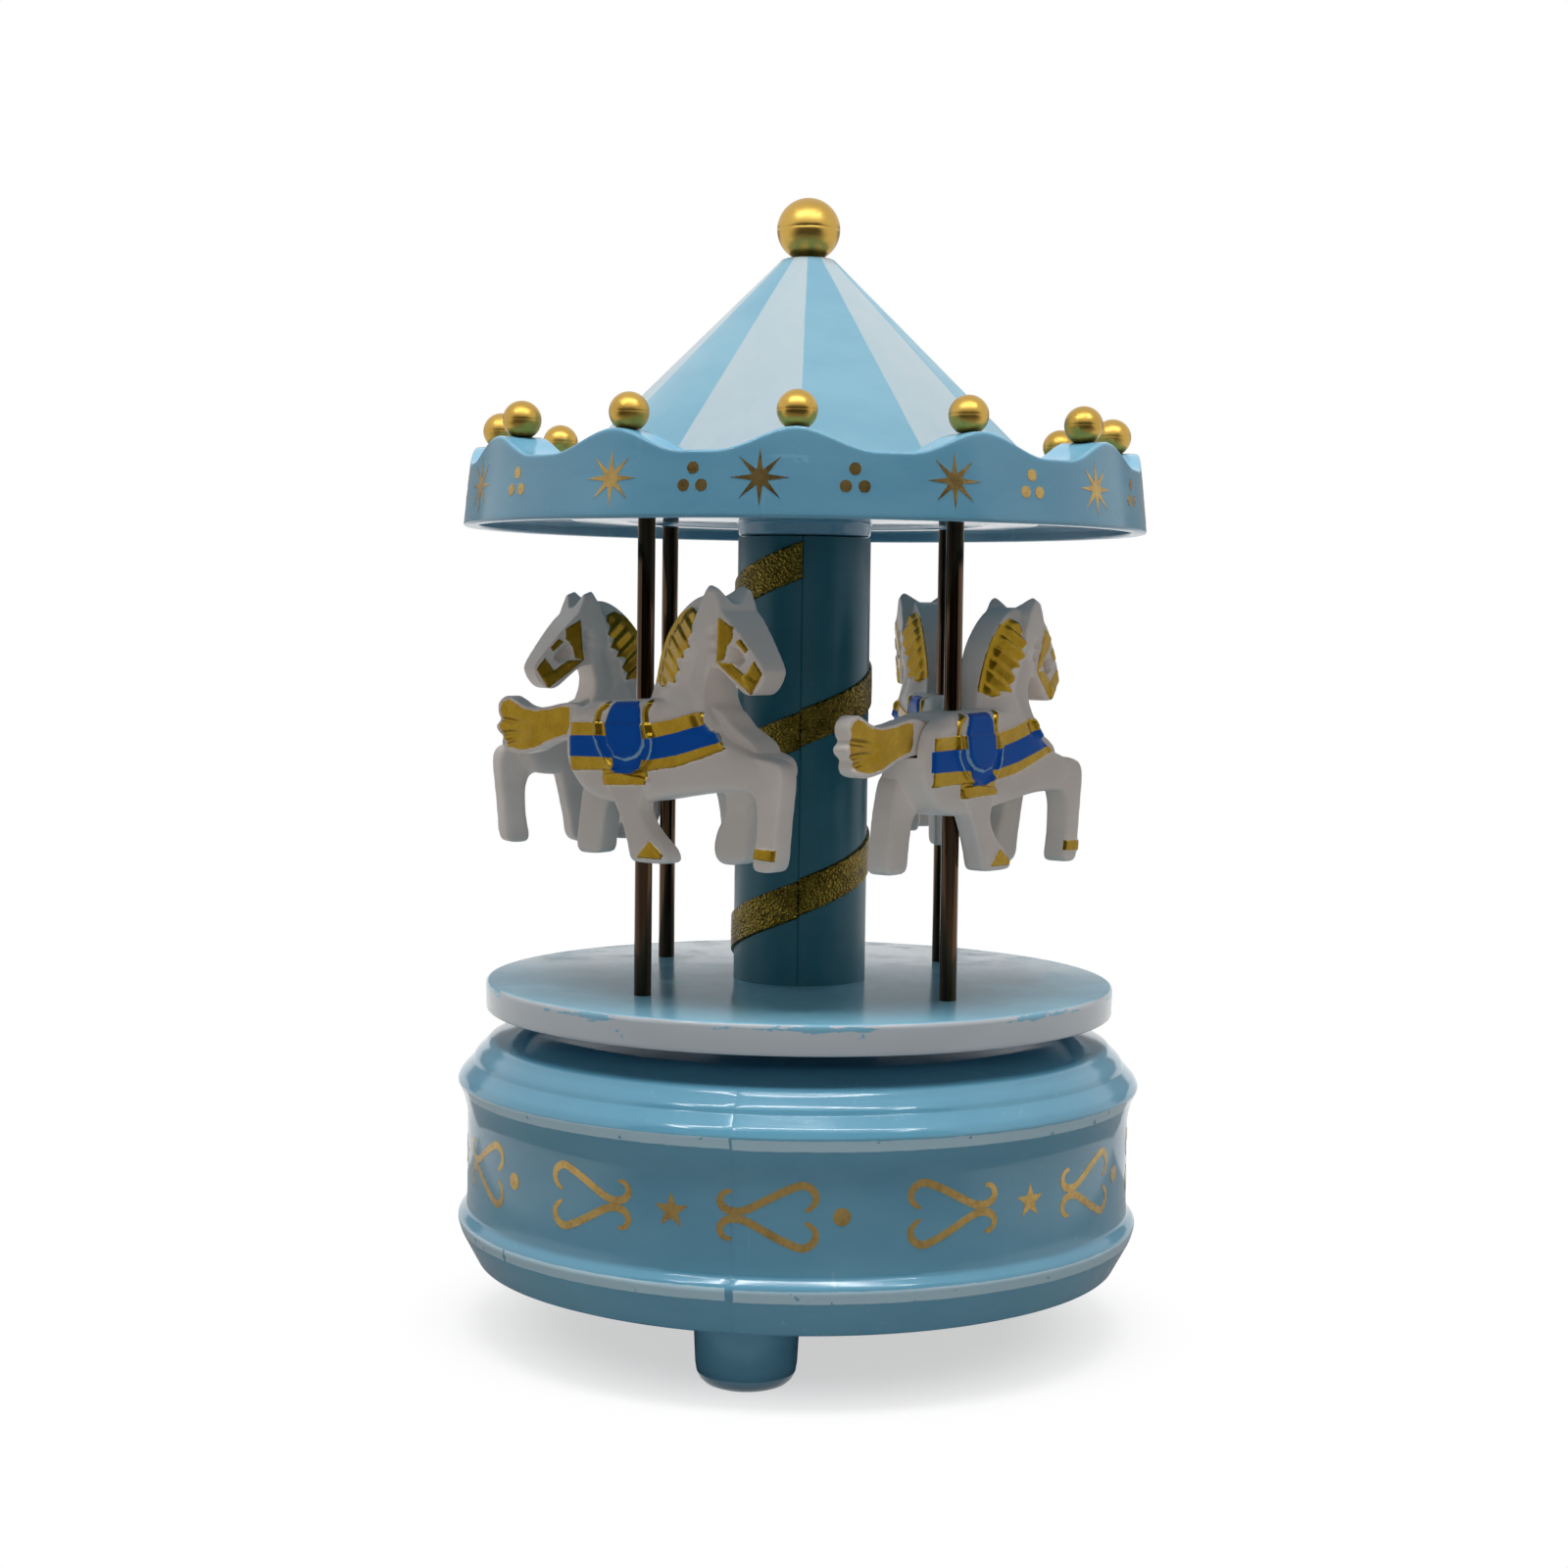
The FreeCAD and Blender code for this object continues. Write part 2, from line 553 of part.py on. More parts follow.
def ceiling():
    """Disc under the canopy, with a collar that carries it on the column."""
    disc = rod(CEILING_R, CEILING_UNDER, CEILING_TOP)
    collar = rod(COLUMN_R, COLUMN_TOP, CEILING_UNDER)
    spigot_r = COLUMN_R - COLUMN_WALL - SLIP_FIT
    spigot = tube(spigot_r, spigot_r - COLUMN_SPIGOT_WALL, COLUMN_TOP - COLUMN_SPIGOT, COLUMN_TOP)
    disc = disc.fuse([collar, spigot])
    holes = [rod(POLE_R, CEILING_UNDER, CEILING_TOP, p) for p in pole_places()]
    holes.append(rod(TIE_ROD_R, COLUMN_TOP, CEILING_TOP))
    save("ceiling_disc", disc.cut(holes).removeSplitter())


def scallop_cutter():
    """What one valley of the rim takes away: two crest arcs and a valley arc, pushed outwards along +X."""
    half = RIM_TOP_R * math.tan(math.pi / SCALLOP_COUNT)
    span = half / 2
    drop = SCALLOP_DEPTH / 2
    radius = (span ** 2 + drop ** 2) / (2 * drop)
    bend = math.asin(span / radius) / 2
    start = RIM_FLOOR_INNER_R

    def at(u, z):
        return V(start, u, z)

    crest_bow = radius * math.sin(bend)
    crest_sag = radius * (1 - math.cos(bend))
    middle = RIM_TOP - drop
    above = RIM_TOP + SCALLOP_DEPTH
    left_crest = Part.Arc(at(-half, RIM_TOP), at(-half + crest_bow, RIM_TOP - crest_sag), at(-span, middle))
    valley = Part.Arc(at(-span, middle), at(0, RIM_TOP - SCALLOP_DEPTH), at(span, middle))
    right_crest = Part.Arc(at(span, middle), at(half - crest_bow, RIM_TOP - crest_sag), at(half, RIM_TOP))
    cap = Part.makePolygon([at(half, RIM_TOP), at(half, above), at(-half, above), at(-half, RIM_TOP)])
    edges = [left_crest.toShape(), valley.toShape(), right_crest.toShape()] + cap.Edges
    return Part.Face(Part.Wire(edges)).extrude(V(RIM_LOW_R + RIM_HEIGHT - start, 0, 0))


def canopy():
    """Scalloped rim, roof cone, the balls on the crests and the finial."""
    rim = turned([
        (CEILING_R, RIM_BOTTOM),
        (RIM_LOW_R, RIM_BOTTOM),
        (RIM_TOP_R, RIM_TOP),
        (RIM_INNER_R, RIM_TOP),
        (RIM_INNER_R, RIM_FLOOR_TOP),
        (RIM_FLOOR_INNER_R, RIM_FLOOR_TOP),
        (RIM_FLOOR_INNER_R, RIM_FLOOR_TOP - RIM_FLOOR),
        (RIM_SHELF_R, RIM_FLOOR_TOP - RIM_FLOOR),
        (RIM_SHELF_R, CEILING_TOP),
        (CEILING_R, CEILING_TOP),
    ])
    ball_centre = RIM_TOP + math.sqrt(BALL_R ** 2 - BALL_SEAT_R ** 2)
    balls = []
    cutter = scallop_cutter()
    for angle in around(SCALLOP_COUNT):
        place = polar(BALL_CIRCLE_R, angle)
        peg = rod(BALL_PEG_R, RIM_TOP - BALL_PEG_LENGTH, ball_centre, place)
        ball = Part.makeSphere(BALL_R, V(place.x, place.y, ball_centre))
        below = rod(BALL_R, RIM_TOP - BALL_R, RIM_TOP, place)
        balls.append(ball.cut(below).fuse(peg).removeSplitter())
        valley = cutter.copy()
        valley.rotate(V(0, 0, 0), UP, angle + 180.0 / SCALLOP_COUNT)
        rim = rim.cut([valley, rod(BALL_PEG_R, RIM_TOP - BALL_PEG_LENGTH, RIM_TOP, place)])
    save("canopy_rim", rim.removeSplitter())
    save("roof_balls", Part.makeCompound(balls))

    slope = (ROOF_BASE_R - ROOF_TOP_R) / ROOF_HEIGHT
    wall = ROOF_WALL * math.sqrt(1 + slope ** 2)
    ceiling = ROOF_TOP - ROOF_WALL
    roof = turned([
        (TIE_ROD_R, ROOF_TOP),
        (ROOF_TOP_R, ROOF_TOP),
        (ROOF_BASE_R, RIM_FLOOR_TOP),
        (ROOF_BASE_R - wall, RIM_FLOOR_TOP),
        (ROOF_TOP_R + slope * ROOF_WALL - wall, ceiling),
        (TIE_ROD_R, ceiling),
    ])
    save("roof_cone", roof)

    finial = Part.makeSphere(FINIAL_R, V(0, 0, FINIAL_CENTRE))
    finial = finial.cut(rod(FINIAL_R, ROOF_TOP - FINIAL_R, ROOF_TOP))
    save("finial", finial.cut(rod(TIE_ROD_R, ROOF_TOP, FINIAL_CENTRE)))


def slab(outline, left, right):
    """A flat piece of a horse: its side outline, pushed across from right to left."""
    corners = [V(s, right, h) for s, h in outline]
    face = Part.Face(Part.makePolygon(corners + corners[:1]))
    return face.extrude(V(0, left - right, 0))


def rounded_slab(outline, half):
    """As slab, with a smooth closed curve through the points."""
    curve = Part.BSplineCurve()
    curve.interpolate([V(s, -half, h) for s, h in outline], PeriodicFlag=True)
    return Part.Face(Part.Wire(curve.toShape())).extrude(V(0, 2 * half, 0))


def horses():
    """Moulded horses on the poles, each with the root of its tail let into a slot in its rump."""
    neck_top = max(h for s, h in NECK)
    ears = (min(s for s, h in NECK), max(s for s, h in NECK))
    notch = block(ears, (-EAR_NOTCH_HALF, EAR_NOTCH_HALF), (EAR_NOTCH_HEIGHT, neck_top))
    head = slab(NECK, NECK_HALF, -NECK_HALF).cut(notch)
    legs = [
        slab(OUTER_FORELEG, -LEG_INSIDE, -LEG_OUTSIDE),
        slab(INNER_FORELEG, LEG_OUTSIDE, LEG_INSIDE),
        slab(OUTER_HINDLEG, -LEG_INSIDE, -LEG_OUTSIDE),
        slab(INNER_HINDLEG, LEG_OUTSIDE, LEG_INSIDE),
    ]
    tail = slab(TAIL, TAIL_OFFSET + TAIL_THICKNESS / 2, TAIL_OFFSET - TAIL_THICKNESS / 2)
    horse = rounded_slab(TORSO, TORSO_HALF).fuse([head] + legs)
    horse = horse.cut([rod(POLE_R, 0, neck_top), tail]).removeSplitter()
    angles = around(POLE_COUNT, POLE_FIRST_ANGLE)
    for i, (angle, turn, drop) in enumerate(zip(angles, HORSE_TURNS, HORSE_DROPS)):
        for name, piece in (("horse", horse), ("tail", tail)):
            placed = piece.copy()
            placed.rotate(V(0, 0, 0), UP, angle + 90 + turn)
            placed.translate(polar(POLE_CIRCLE_R, angle, HOOF_Z - drop))
            save("%s_%d" % (name, i + 1), placed)


def spring_barrel():
    """Housing, cover and mainspring, hung under the bedplate on three posts."""
    inner_r = HOUSING_R - HOUSING_WALL
    housing = rod(HOUSING_R, HOUSING_BOTTOM, HOUSING_TOP)
    lug_low = HOUSING_TOP - HOUSING_LUG
    screws = []
    for angle in HOUSING_POST_ANGLES:
        place = polar(HOUSING_POST_CIRCLE_R, angle)
        half = HOUSING_LUG_WIDTH / 2
        arm = block((inner_r, HOUSING_POST_CIRCLE_R), (-half, half), (lug_low, HOUSING_TOP))
        arm.rotate(V(0, 0, 0), UP, angle)
        housing = housing.fuse([arm, rod(HOUSING_POST_R, lug_low, BEDPLATE_UNDER, place)])
        screws.append(screw(place, BEDPLATE_TOP, -1))
    bore = rod(inner_r, HOUSING_BOTTOM + HOUSING_END, HOUSING_TOP)
    pivot_hole = rod(STEM_PIVOT_R + RUNNING_GAP, HOUSING_BOTTOM, HOUSING_BOTTOM + HOUSING_END)
    housing = housing.cut([bore, pivot_hole] + screws)
    save("spring_housing", housing.removeSplitter())
    save("housing_screws", Part.makeCompound(screws))
    save("spring_cover", tube(inner_r, STEM_R + RUNNING_GAP, HOUSING_TOP - SPRING_COVER, HOUSING_TOP))

    start_r = ARBOR_CORE_R + END_GAP
    grow = inner_r - SLIP_FIT - SPRING_STRIP - start_r

    def spiral(offset):
        steps = SPRING_TURNS * SPRING_STEPS
        turn = 360.0 / SPRING_STEPS
        points = [polar(start_r + offset + grow * i / steps, turn * i) for i in range(steps + 1)]
        curve = Part.BSplineCurve()
        curve.interpolate(points)
        return curve.toShape(), points

    inside, inside_points = spiral(0.0)
    outside, outside_points = spiral(SPRING_STRIP)
    ends = [Part.LineSegment(a, b).toShape() for a, b in (
        (inside_points[0], outside_points[0]),
        (inside_points[-1], outside_points[-1]),
    )]
    strip = Part.Face(Part.Wire(Part.__sortEdges__([inside, outside] + ends)))
    spring_low = HOUSING_BOTTOM + HOUSING_END
    spring = strip.extrude(V(0, 0, HOUSING_TOP - SPRING_COVER - END_GAP - spring_low))
    spring.translate(V(0, 0, spring_low))
    save("mainspring", spring)
    return screws


def winding_stem():
    """Arbor that the hub turns, and the crown wheel fixed on it."""
    core_low = HOUSING_BOTTOM + HOUSING_END + END_GAP
    core_high = HOUSING_TOP - SPRING_COVER - END_GAP
    stem = rod(STEM_R, core_low, STEM_TOP)
    stem = stem.fuse([rod(ARBOR_CORE_R, core_low, core_high), rod(STEM_PIVOT_R, HOUSING_BOTTOM, core_low)])
    save("winding_stem", stem.removeSplitter())

    crown = rod(CROWN_R, CROWN_UNDER, CROWN_UNDER + CROWN_PLATE)
    hub = rod(CROWN_HUB_R, HOUSING_TOP + END_GAP, BEDPLATE_UNDER - END_GAP)
    half = CROWN_TOOTH_THICKNESS / 2
    teeth = []
    for angle in around(CROWN_TEETH, 180.0 / CROWN_TEETH):
        tooth = block((CROWN_TOOTH_INNER_R, CROWN_R - END_GAP), (-half, half), (CROWN_TOOTH_TIP, CROWN_UNDER))
        tooth.rotate(V(0, 0, 0), UP, angle)
        teeth.append(tooth)
    crown = crown.fuse([hub] + teeth).cut(rod(STEM_R, HOUSING_TOP, BEDPLATE_UNDER))
    save("crown_wheel", crown.removeSplitter())


def pinned_cylinder():
    """Pinned cylinder on its arbor, with the pinion that drives it and the wheel that it drives."""
    pinion_start = CROWN_TOOTH_INNER_R + END_GAP
    arbor_end = OUTER_BEARING_X + BEARING_THICKNESS + END_GAP
    arbor = rod_x(CYLINDER_ARBOR_R, pinion_start, arbor_end, 0, AXIS_Z)
    save("cylinder_arbor", arbor)

    pinion = toothed(
        PINION_TEETH, PINION_PITCH_R, PINION_ADDENDUM, PINION_DEDENDUM,
        pinion_start, pinion_start + PINION_WIDTH, 90.0,
    )
    pinion.translate(V(0, 0, AXIS_Z))
    save("cylinder_pinion", pinion.cut(arbor))

    pins = []
    for note in range(NOTE_COUNT):
        x = CYLINDER_START + (note + 0.5) * NOTE_PITCH
        for angle in around(PINS_PER_NOTE, note * GOLDEN_ANGLE):
            pin = Part.makeCylinder(PIN_R, PIN_ROOT + PIN_HEIGHT, V(x, CYLINDER_R - PIN_ROOT, 0), V(0, 1, 0))
            pin.rotate(V(0, 0, 0), V(1, 0, 0), angle)
            pins.append(pin)
    cylinder = rod_x(CYLINDER_R, CYLINDER_START, CYLINDER_END, 0, 0).fuse(pins)
    cylinder.translate(V(0, 0, AXIS_Z))
    save("music_cylinder", cylinder.cut(arbor).removeSplitter())

    wheel = toothed(WHEEL_TEETH, WHEEL_PITCH_R, GEAR_ADDENDUM, GEAR_DEDENDUM, WHEEL_START, WHEEL_END, 180.0)
    wheel.translate(V(0, 0, AXIS_Z))
    boss = rod_x(2 * CYLINDER_ARBOR_R, CYLINDER_END, WHEEL_START, 0, AXIS_Z)
    save("cylinder_wheel", wheel.fuse(boss).cut(arbor).removeSplitter())


def cylinder_bearings():
    """Two brackets under the bedplate that carry the cylinder's arbor."""
    half = BEARING_WIDTH / 2
    hole = rod_x(CYLINDER_ARBOR_R + RUNNING_GAP, 0, BEDPLATE_R, 0, AXIS_Z)
    heights = (AXIS_Z - BEARING_BELOW_AXIS, BEDPLATE_UNDER)
    foot_heights = (BEDPLATE_UNDER - BEARING_FOOT, BEDPLATE_UNDER)
    for name, start in (("inner", INNER_BEARING_X), ("outer", OUTER_BEARING_X)):
        cheek = block((start, start + BEARING_THICKNESS), (-half, half), heights)
        foot = block((start, start + BEARING_FOOT_LENGTH), (-half, half), foot_heights)
        save("cylinder_bearing_" + name, cheek.fuse(foot).cut(hole).removeSplitter())


def comb_screw_places():
    """Two screws, a quarter of the comb's length from its ends."""
    length = CYLINDER_END - CYLINDER_START
    y = COMB_BODY_Y + COMB_SEAT_SETBACK + (COMB_BODY_LENGTH - COMB_SEAT_SETBACK) / 2
    return [V(CYLINDER_START + length * share, y, 0) for share in (0.25, 0.75)]


def comb():
    """Steel comb with one tooth for each note."""
    plate = block((CYLINDER_START, CYLINDER_END), (COMB_TIP_Y, COMB_BACK_Y), (COMB_UNDER, COMB_SEAT_Z))
    slots = []
    for gap in range(1, NOTE_COUNT):
        middle = CYLINDER_START + gap * NOTE_PITCH
        sides = (middle - COMB_SLOT / 2, middle + COMB_SLOT / 2)
        slots.append(block(sides, (COMB_TIP_Y, COMB_BODY_Y), (COMB_UNDER, COMB_SEAT_Z)))
    screws = [screw(p, COMB_UNDER) for p in comb_screw_places()]
    save("comb", plate.cut(slots + screws))
    save("comb_screws", Part.makeCompound(screws))
    return screws


def bedplate(held_screws, own_screws):
    """Cast plate of the movement, with the seat that the comb is screwed to."""
    sides = (-BEDPLATE_BACK, BEDPLATE_SIDE)
    plate = block((-BEDPLATE_BACK, BEDPLATE_R), sides, (BEDPLATE_UNDER, BEDPLATE_TOP))
    plate = plate.common(rod(BEDPLATE_R, BEDPLATE_UNDER, BEDPLATE_TOP))
    seat_sides = (COMB_BODY_Y + COMB_SEAT_SETBACK, COMB_BACK_Y)
    seat = block((CYLINDER_START, CYLINDER_END), seat_sides, (COMB_SEAT_Z, BEDPLATE_UNDER))
    plate = plate.fuse(seat)
    plate = plate.cut([rod(STEM_R + RUNNING_GAP, BEDPLATE_UNDER, BEDPLATE_TOP)] + held_screws + own_screws)
    save("bedplate", plate.removeSplitter())
    save("bedplate_screws", Part.makeCompound(own_screws))


def speed_up_gear():
    """Small pinion cut on its arbor, and the worm wheel that it turns."""
    left = FRAME_LEFT + FRAME_CHEEK
    pinion = toothed(
        SMALL_PINION_TEETH, SMALL_PINION_PITCH_R, GEAR_ADDENDUM, GEAR_DEDENDUM,
        WHEEL_START - END_GAP, WHEEL_END + END_GAP, 180.0 / SMALL_PINION_TEETH,
    )
    pinion.translate(V(0, SMALL_AXIS_Y, AXIS_Z))
    shaft = rod_x(SMALL_ARBOR_R, left + END_GAP, FRAME_RIGHT - FRAME_CHEEK - END_GAP, SMALL_AXIS_Y, AXIS_Z)
    pivots = rod_x(PIVOT_R, FRAME_LEFT, FRAME_RIGHT, SMALL_AXIS_Y, AXIS_Z)
    arbor = pinion.fuse([shaft, pivots]).removeSplitter()
    save("intermediate_arbor", arbor)

    half = WORM_WHEEL_WIDTH / 2
    wheel = toothed(
        WORM_WHEEL_TEETH, WORM_WHEEL_PITCH_R, GEAR_ADDENDUM, GEAR_DEDENDUM,
        WORM_X - half, WORM_X + half, 180.0,
    )
    wheel.translate(V(0, SMALL_AXIS_Y, AXIS_Z))
    save("worm_wheel", wheel.cut(shaft))


def governor():
    """Worm with its fly, which brakes the train by stirring the air."""
    place = V(WORM_X, WORM_Y, 0)
    pitch = math.pi * GEAR_MODULE
    lead = pitch * WORM_STARTS
    low = AXIS_Z - WORM_HALF_LENGTH
    root_r = WORM_R - GEAR_DEDENDUM
    tip_r = WORM_R + THREAD_ADDENDUM
    spine = Part.Wire(Part.makeHelix(lead, 2 * WORM_HALF_LENGTH, WORM_R))
    sunk_r = root_r - THREAD_SUNK
    root_half = THREAD_ROOT_SHARE * pitch
    tip_half = THREAD_TIP_SHARE * pitch
    section = [(sunk_r, -root_half), (tip_r, -tip_half), (tip_r, tip_half), (sunk_r, root_half)]
    corners = [V(r, 0, z) for r, z in section]
    profile = Part.makePolygon(corners + corners[:1])
    thread = spine.makePipeShell([profile], True, True)
    # A gap between two threads faces the wheel's middle tooth, which is on the worm's +Y side.
    rise_to_middle = (WORM_HALF_LENGTH + pitch / 2) % pitch
    first_angle = 90.0 - 360.0 * rise_to_middle / lead
    threads = []
    for angle in around(WORM_STARTS, first_angle):
        one = thread.copy()
        one.rotate(V(0, 0, 0), UP, angle)
        one.translate(V(WORM_X, WORM_Y, low))
        threads.append(one)
    core = rod(root_r, low - pitch, AXIS_Z + WORM_HALF_LENGTH + pitch, place)
    arbor = rod(PIVOT_R, FRAME_FLOOR_TOP - FRAME_PLATE, BEDPLATE_UNDER - RUNNING_GAP, place)
    worm = core.fuse(threads + [arbor]).removeSplitter()
    save("governor_worm", worm)

    hub = rod(FLY_HUB_R, FLY_BOTTOM, FLY_TOP, place)
    half = FLY_BLADE / 2
    blade = block((WORM_X - FLY_R, WORM_X + FLY_R), (WORM_Y - half, WORM_Y + half), (FLY_BOTTOM, FLY_TOP))
    save("governor_fly", hub.fuse(blade).cut(arbor).removeSplitter())


def governor_frame(screws):
    """Bent frame under the bedplate that carries the small arbor and the worm."""
    front = WORM_Y - 2 * PIVOT_R - FRAME_PLATE
    back = SMALL_AXIS_Y + FRAME_CHEEK_HALF
    top = block((FRAME_LEFT, FRAME_RIGHT), (front, back), (BEDPLATE_UNDER - FRAME_PLATE, BEDPLATE_UNDER))
    cheek_sides = (SMALL_AXIS_Y - FRAME_CHEEK_HALF, back)
    floor_low = FRAME_FLOOR_TOP - FRAME_PLATE
    left = block((FRAME_LEFT, FRAME_LEFT + FRAME_CHEEK), cheek_sides, (floor_low, BEDPLATE_UNDER))
    right_low = AXIS_Z - BEARING_BELOW_AXIS
    right = block((FRAME_RIGHT - FRAME_CHEEK, FRAME_RIGHT), cheek_sides, (right_low, BEDPLATE_UNDER))
    floor = block((FRAME_LEFT, WORM_X + 2 * FRAME_PLATE), (front, back), (floor_low, FRAME_FLOOR_TOP))
    frame = top.fuse([left, right, floor]).common(rod(BEDPLATE_R, floor_low, BEDPLATE_UNDER))
    worm_hole = rod(PIVOT_R + RUNNING_GAP, floor_low, BEDPLATE_UNDER, V(WORM_X, WORM_Y, 0))
    arbor_hole = rod_x(PIVOT_R + RUNNING_GAP, FRAME_LEFT, FRAME_RIGHT, SMALL_AXIS_Y, AXIS_Z)
    save("governor_frame", frame.cut([worm_hole, arbor_hole] + screws).removeSplitter())
    save("governor_screws", Part.makeCompound(screws))


own_screws = [screw(V(x, y, 0), BEDPLATE_UNDER) for x, y in BEDPLATE_BOSS_PLACES]
frame_screws = [
    screw(V(WORM_X + x, SMALL_AXIS_Y + y, 0), BEDPLATE_TOP, -1)
    for x, y in GOVERNOR_SCREW_OFFSETS
]
feet()
base_shell(bottom_cover(), own_screws)
turning_bearing()
platform()
poles()
column()
ceiling()
canopy()
horses()
housing_screws = spring_barrel()
winding_stem()
pinned_cylinder()
cylinder_bearings()
bedplate(comb() + housing_screws + frame_screws, own_screws)
speed_up_gear()
governor()
governor_frame(frame_screws)
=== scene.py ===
# %% [markdown]
# # A carousel music box
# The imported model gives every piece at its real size: a drum with the movement inside, a turntable,
# a column, four horses on brass poles, and a canopy. This lesson gives each of them its finished shape
# and its surface. All modelling is in millimetres, and a finished piece is brought to metres at the end.

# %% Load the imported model
import math

import bpy
import numpy as np
from mathutils import Matrix, Vector


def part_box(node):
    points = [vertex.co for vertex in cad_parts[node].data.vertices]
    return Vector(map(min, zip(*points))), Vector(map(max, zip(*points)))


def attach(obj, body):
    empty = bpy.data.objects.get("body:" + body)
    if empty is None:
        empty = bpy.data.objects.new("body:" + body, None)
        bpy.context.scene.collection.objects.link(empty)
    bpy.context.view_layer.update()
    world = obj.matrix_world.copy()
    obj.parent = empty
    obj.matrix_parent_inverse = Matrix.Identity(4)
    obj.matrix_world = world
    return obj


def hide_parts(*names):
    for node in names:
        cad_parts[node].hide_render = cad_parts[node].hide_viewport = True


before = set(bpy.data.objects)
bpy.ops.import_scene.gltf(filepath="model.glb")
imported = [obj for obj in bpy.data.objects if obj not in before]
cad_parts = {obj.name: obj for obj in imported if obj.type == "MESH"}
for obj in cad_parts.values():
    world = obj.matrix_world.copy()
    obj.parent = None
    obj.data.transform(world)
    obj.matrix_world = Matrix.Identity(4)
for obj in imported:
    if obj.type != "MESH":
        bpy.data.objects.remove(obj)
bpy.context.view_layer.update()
MM = 0.001


def reach(node):
    """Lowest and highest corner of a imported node, in millimetres."""
    low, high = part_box(node)
    return low / MM, high / MM


# %% [markdown]
# ## Camera
# The photograph was taken with a long lens from a little above the middle of the object, with the
# camera held almost level. The lens, distance, tilt and roll were worked out from the ellipses of the
# drum and the canopy, so the camera is placed by those few numbers and nothing is aimed by eye.

# %% Place the camera
LENS = 60.0
CAMERA_DISTANCE = 385.7
CAMERA_HEIGHT = 103.7
CAMERA_AZIMUTH = 1.5
CAMERA_PAN = 0.384
CAMERA_TILT = 3.53
CAMERA_ROLL = 0.72

bpy.ops.object.select_all(action="DESELECT")
bpy.ops.object.camera_add()
camera = bpy.context.object
camera.data.lens = LENS
camera.data.clip_start = 0.01
round_table = Matrix.Rotation(math.radians(CAMERA_AZIMUTH), 4, "Z")
standpoint = Matrix.Translation(Vector((0, -CAMERA_DISTANCE, CAMERA_HEIGHT)) * MM)
pan = Matrix.Rotation(math.radians(CAMERA_PAN), 4, "Z")
tilt = Matrix.Rotation(math.radians(90 - CAMERA_TILT), 4, "X")
roll = Matrix.Rotation(math.radians(CAMERA_ROLL), 4, "Z")
camera.matrix_world = round_table @ standpoint @ pan @ tilt @ roll
bpy.context.scene.camera = camera
print("camera at", [round(v / MM, 1) for v in camera.matrix_world.translation])

# %% [markdown]
# ## Stage and light
# The object stands on a white table in a white room. A brighter lamp would make them white too, but it
# would bleach the object, so table and room simply show plain white wherever they are looked at, in the
# picture or in a reflection, and the table keeps a pale shadow round the object. What lights the object
# are soft lamps above, in front and behind.

# %% Helpers for nodes
bpy.context.scene.view_settings.view_transform = "Standard"


def feed(tree, socket, value):
    """Link a socket into another, or set its value."""
    if isinstance(value, bpy.types.NodeSocket):
        tree.links.new(value, socket)
    else:
        socket.default_value = value


def maths(tree, operation, *values):
    """One step of arithmetic."""
    node = tree.nodes.new("ShaderNodeMath")
    node.operation = operation
    for socket, value in zip(node.inputs, values):
        feed(tree, socket, value)
    return node.outputs[0]


def blend(tree, factor, first, second):
    """Mix two colours."""
    node = tree.nodes.new("ShaderNodeMix")
    node.data_type = "RGBA"
    feed(tree, node.inputs[0], factor)
    feed(tree, node.inputs[6], first)
    feed(tree, node.inputs[7], second)
    return node.outputs[2]


def ease(tree, value, low, high, from_value=0.0, to_value=1.0):
    """A smooth step of a value between two limits."""
    node = tree.nodes.new("ShaderNodeMapRange")
    node.interpolation_type = "SMOOTHSTEP"
    for socket, part in zip(node.inputs, (value, low, high, from_value, to_value)):
        feed(tree, socket, part)
    return node.outputs[0]


def coordinates(tree):
    """Object coordinates in metres."""
    return tree.nodes.new("ShaderNodeTexCoord").outputs["Object"]


def looked_at(tree):
    """1 for a ray that the camera sees, straight or by way of gloss or glass, and 0 for other light."""
    path = tree.nodes.new("ShaderNodeLightPath")
    looked = maths(tree, "MAXIMUM", path.outputs["Is Camera Ray"], path.outputs["Is Glossy Ray"])
    return maths(tree, "MAXIMUM", looked, path.outputs["Is Transmission Ray"])


# %% White table and white room
ROOM_FILL = 0.08
TABLE_WHITE = (0.93, 0.93, 0.93, 1.0)
TABLE_BOUNCE = (0.36, 0.355, 0.35, 1.0)
TABLE_SIZE = 6.0
SHADOW_REACH, WHITE_FROM, SHADOW_PALE = 0.03, 0.062, 0.58
MATT = 0.95


def plain_surface(name, tint, roughness=MATT):
    """A matt material for the stage."""
    material = bpy.data.materials.new(name)
    material.use_nodes = True
    shader = material.node_tree.nodes["Principled BSDF"]
    shader.inputs["Base Color"].default_value = tint
    shader.inputs["Roughness"].default_value = roughness
    return material


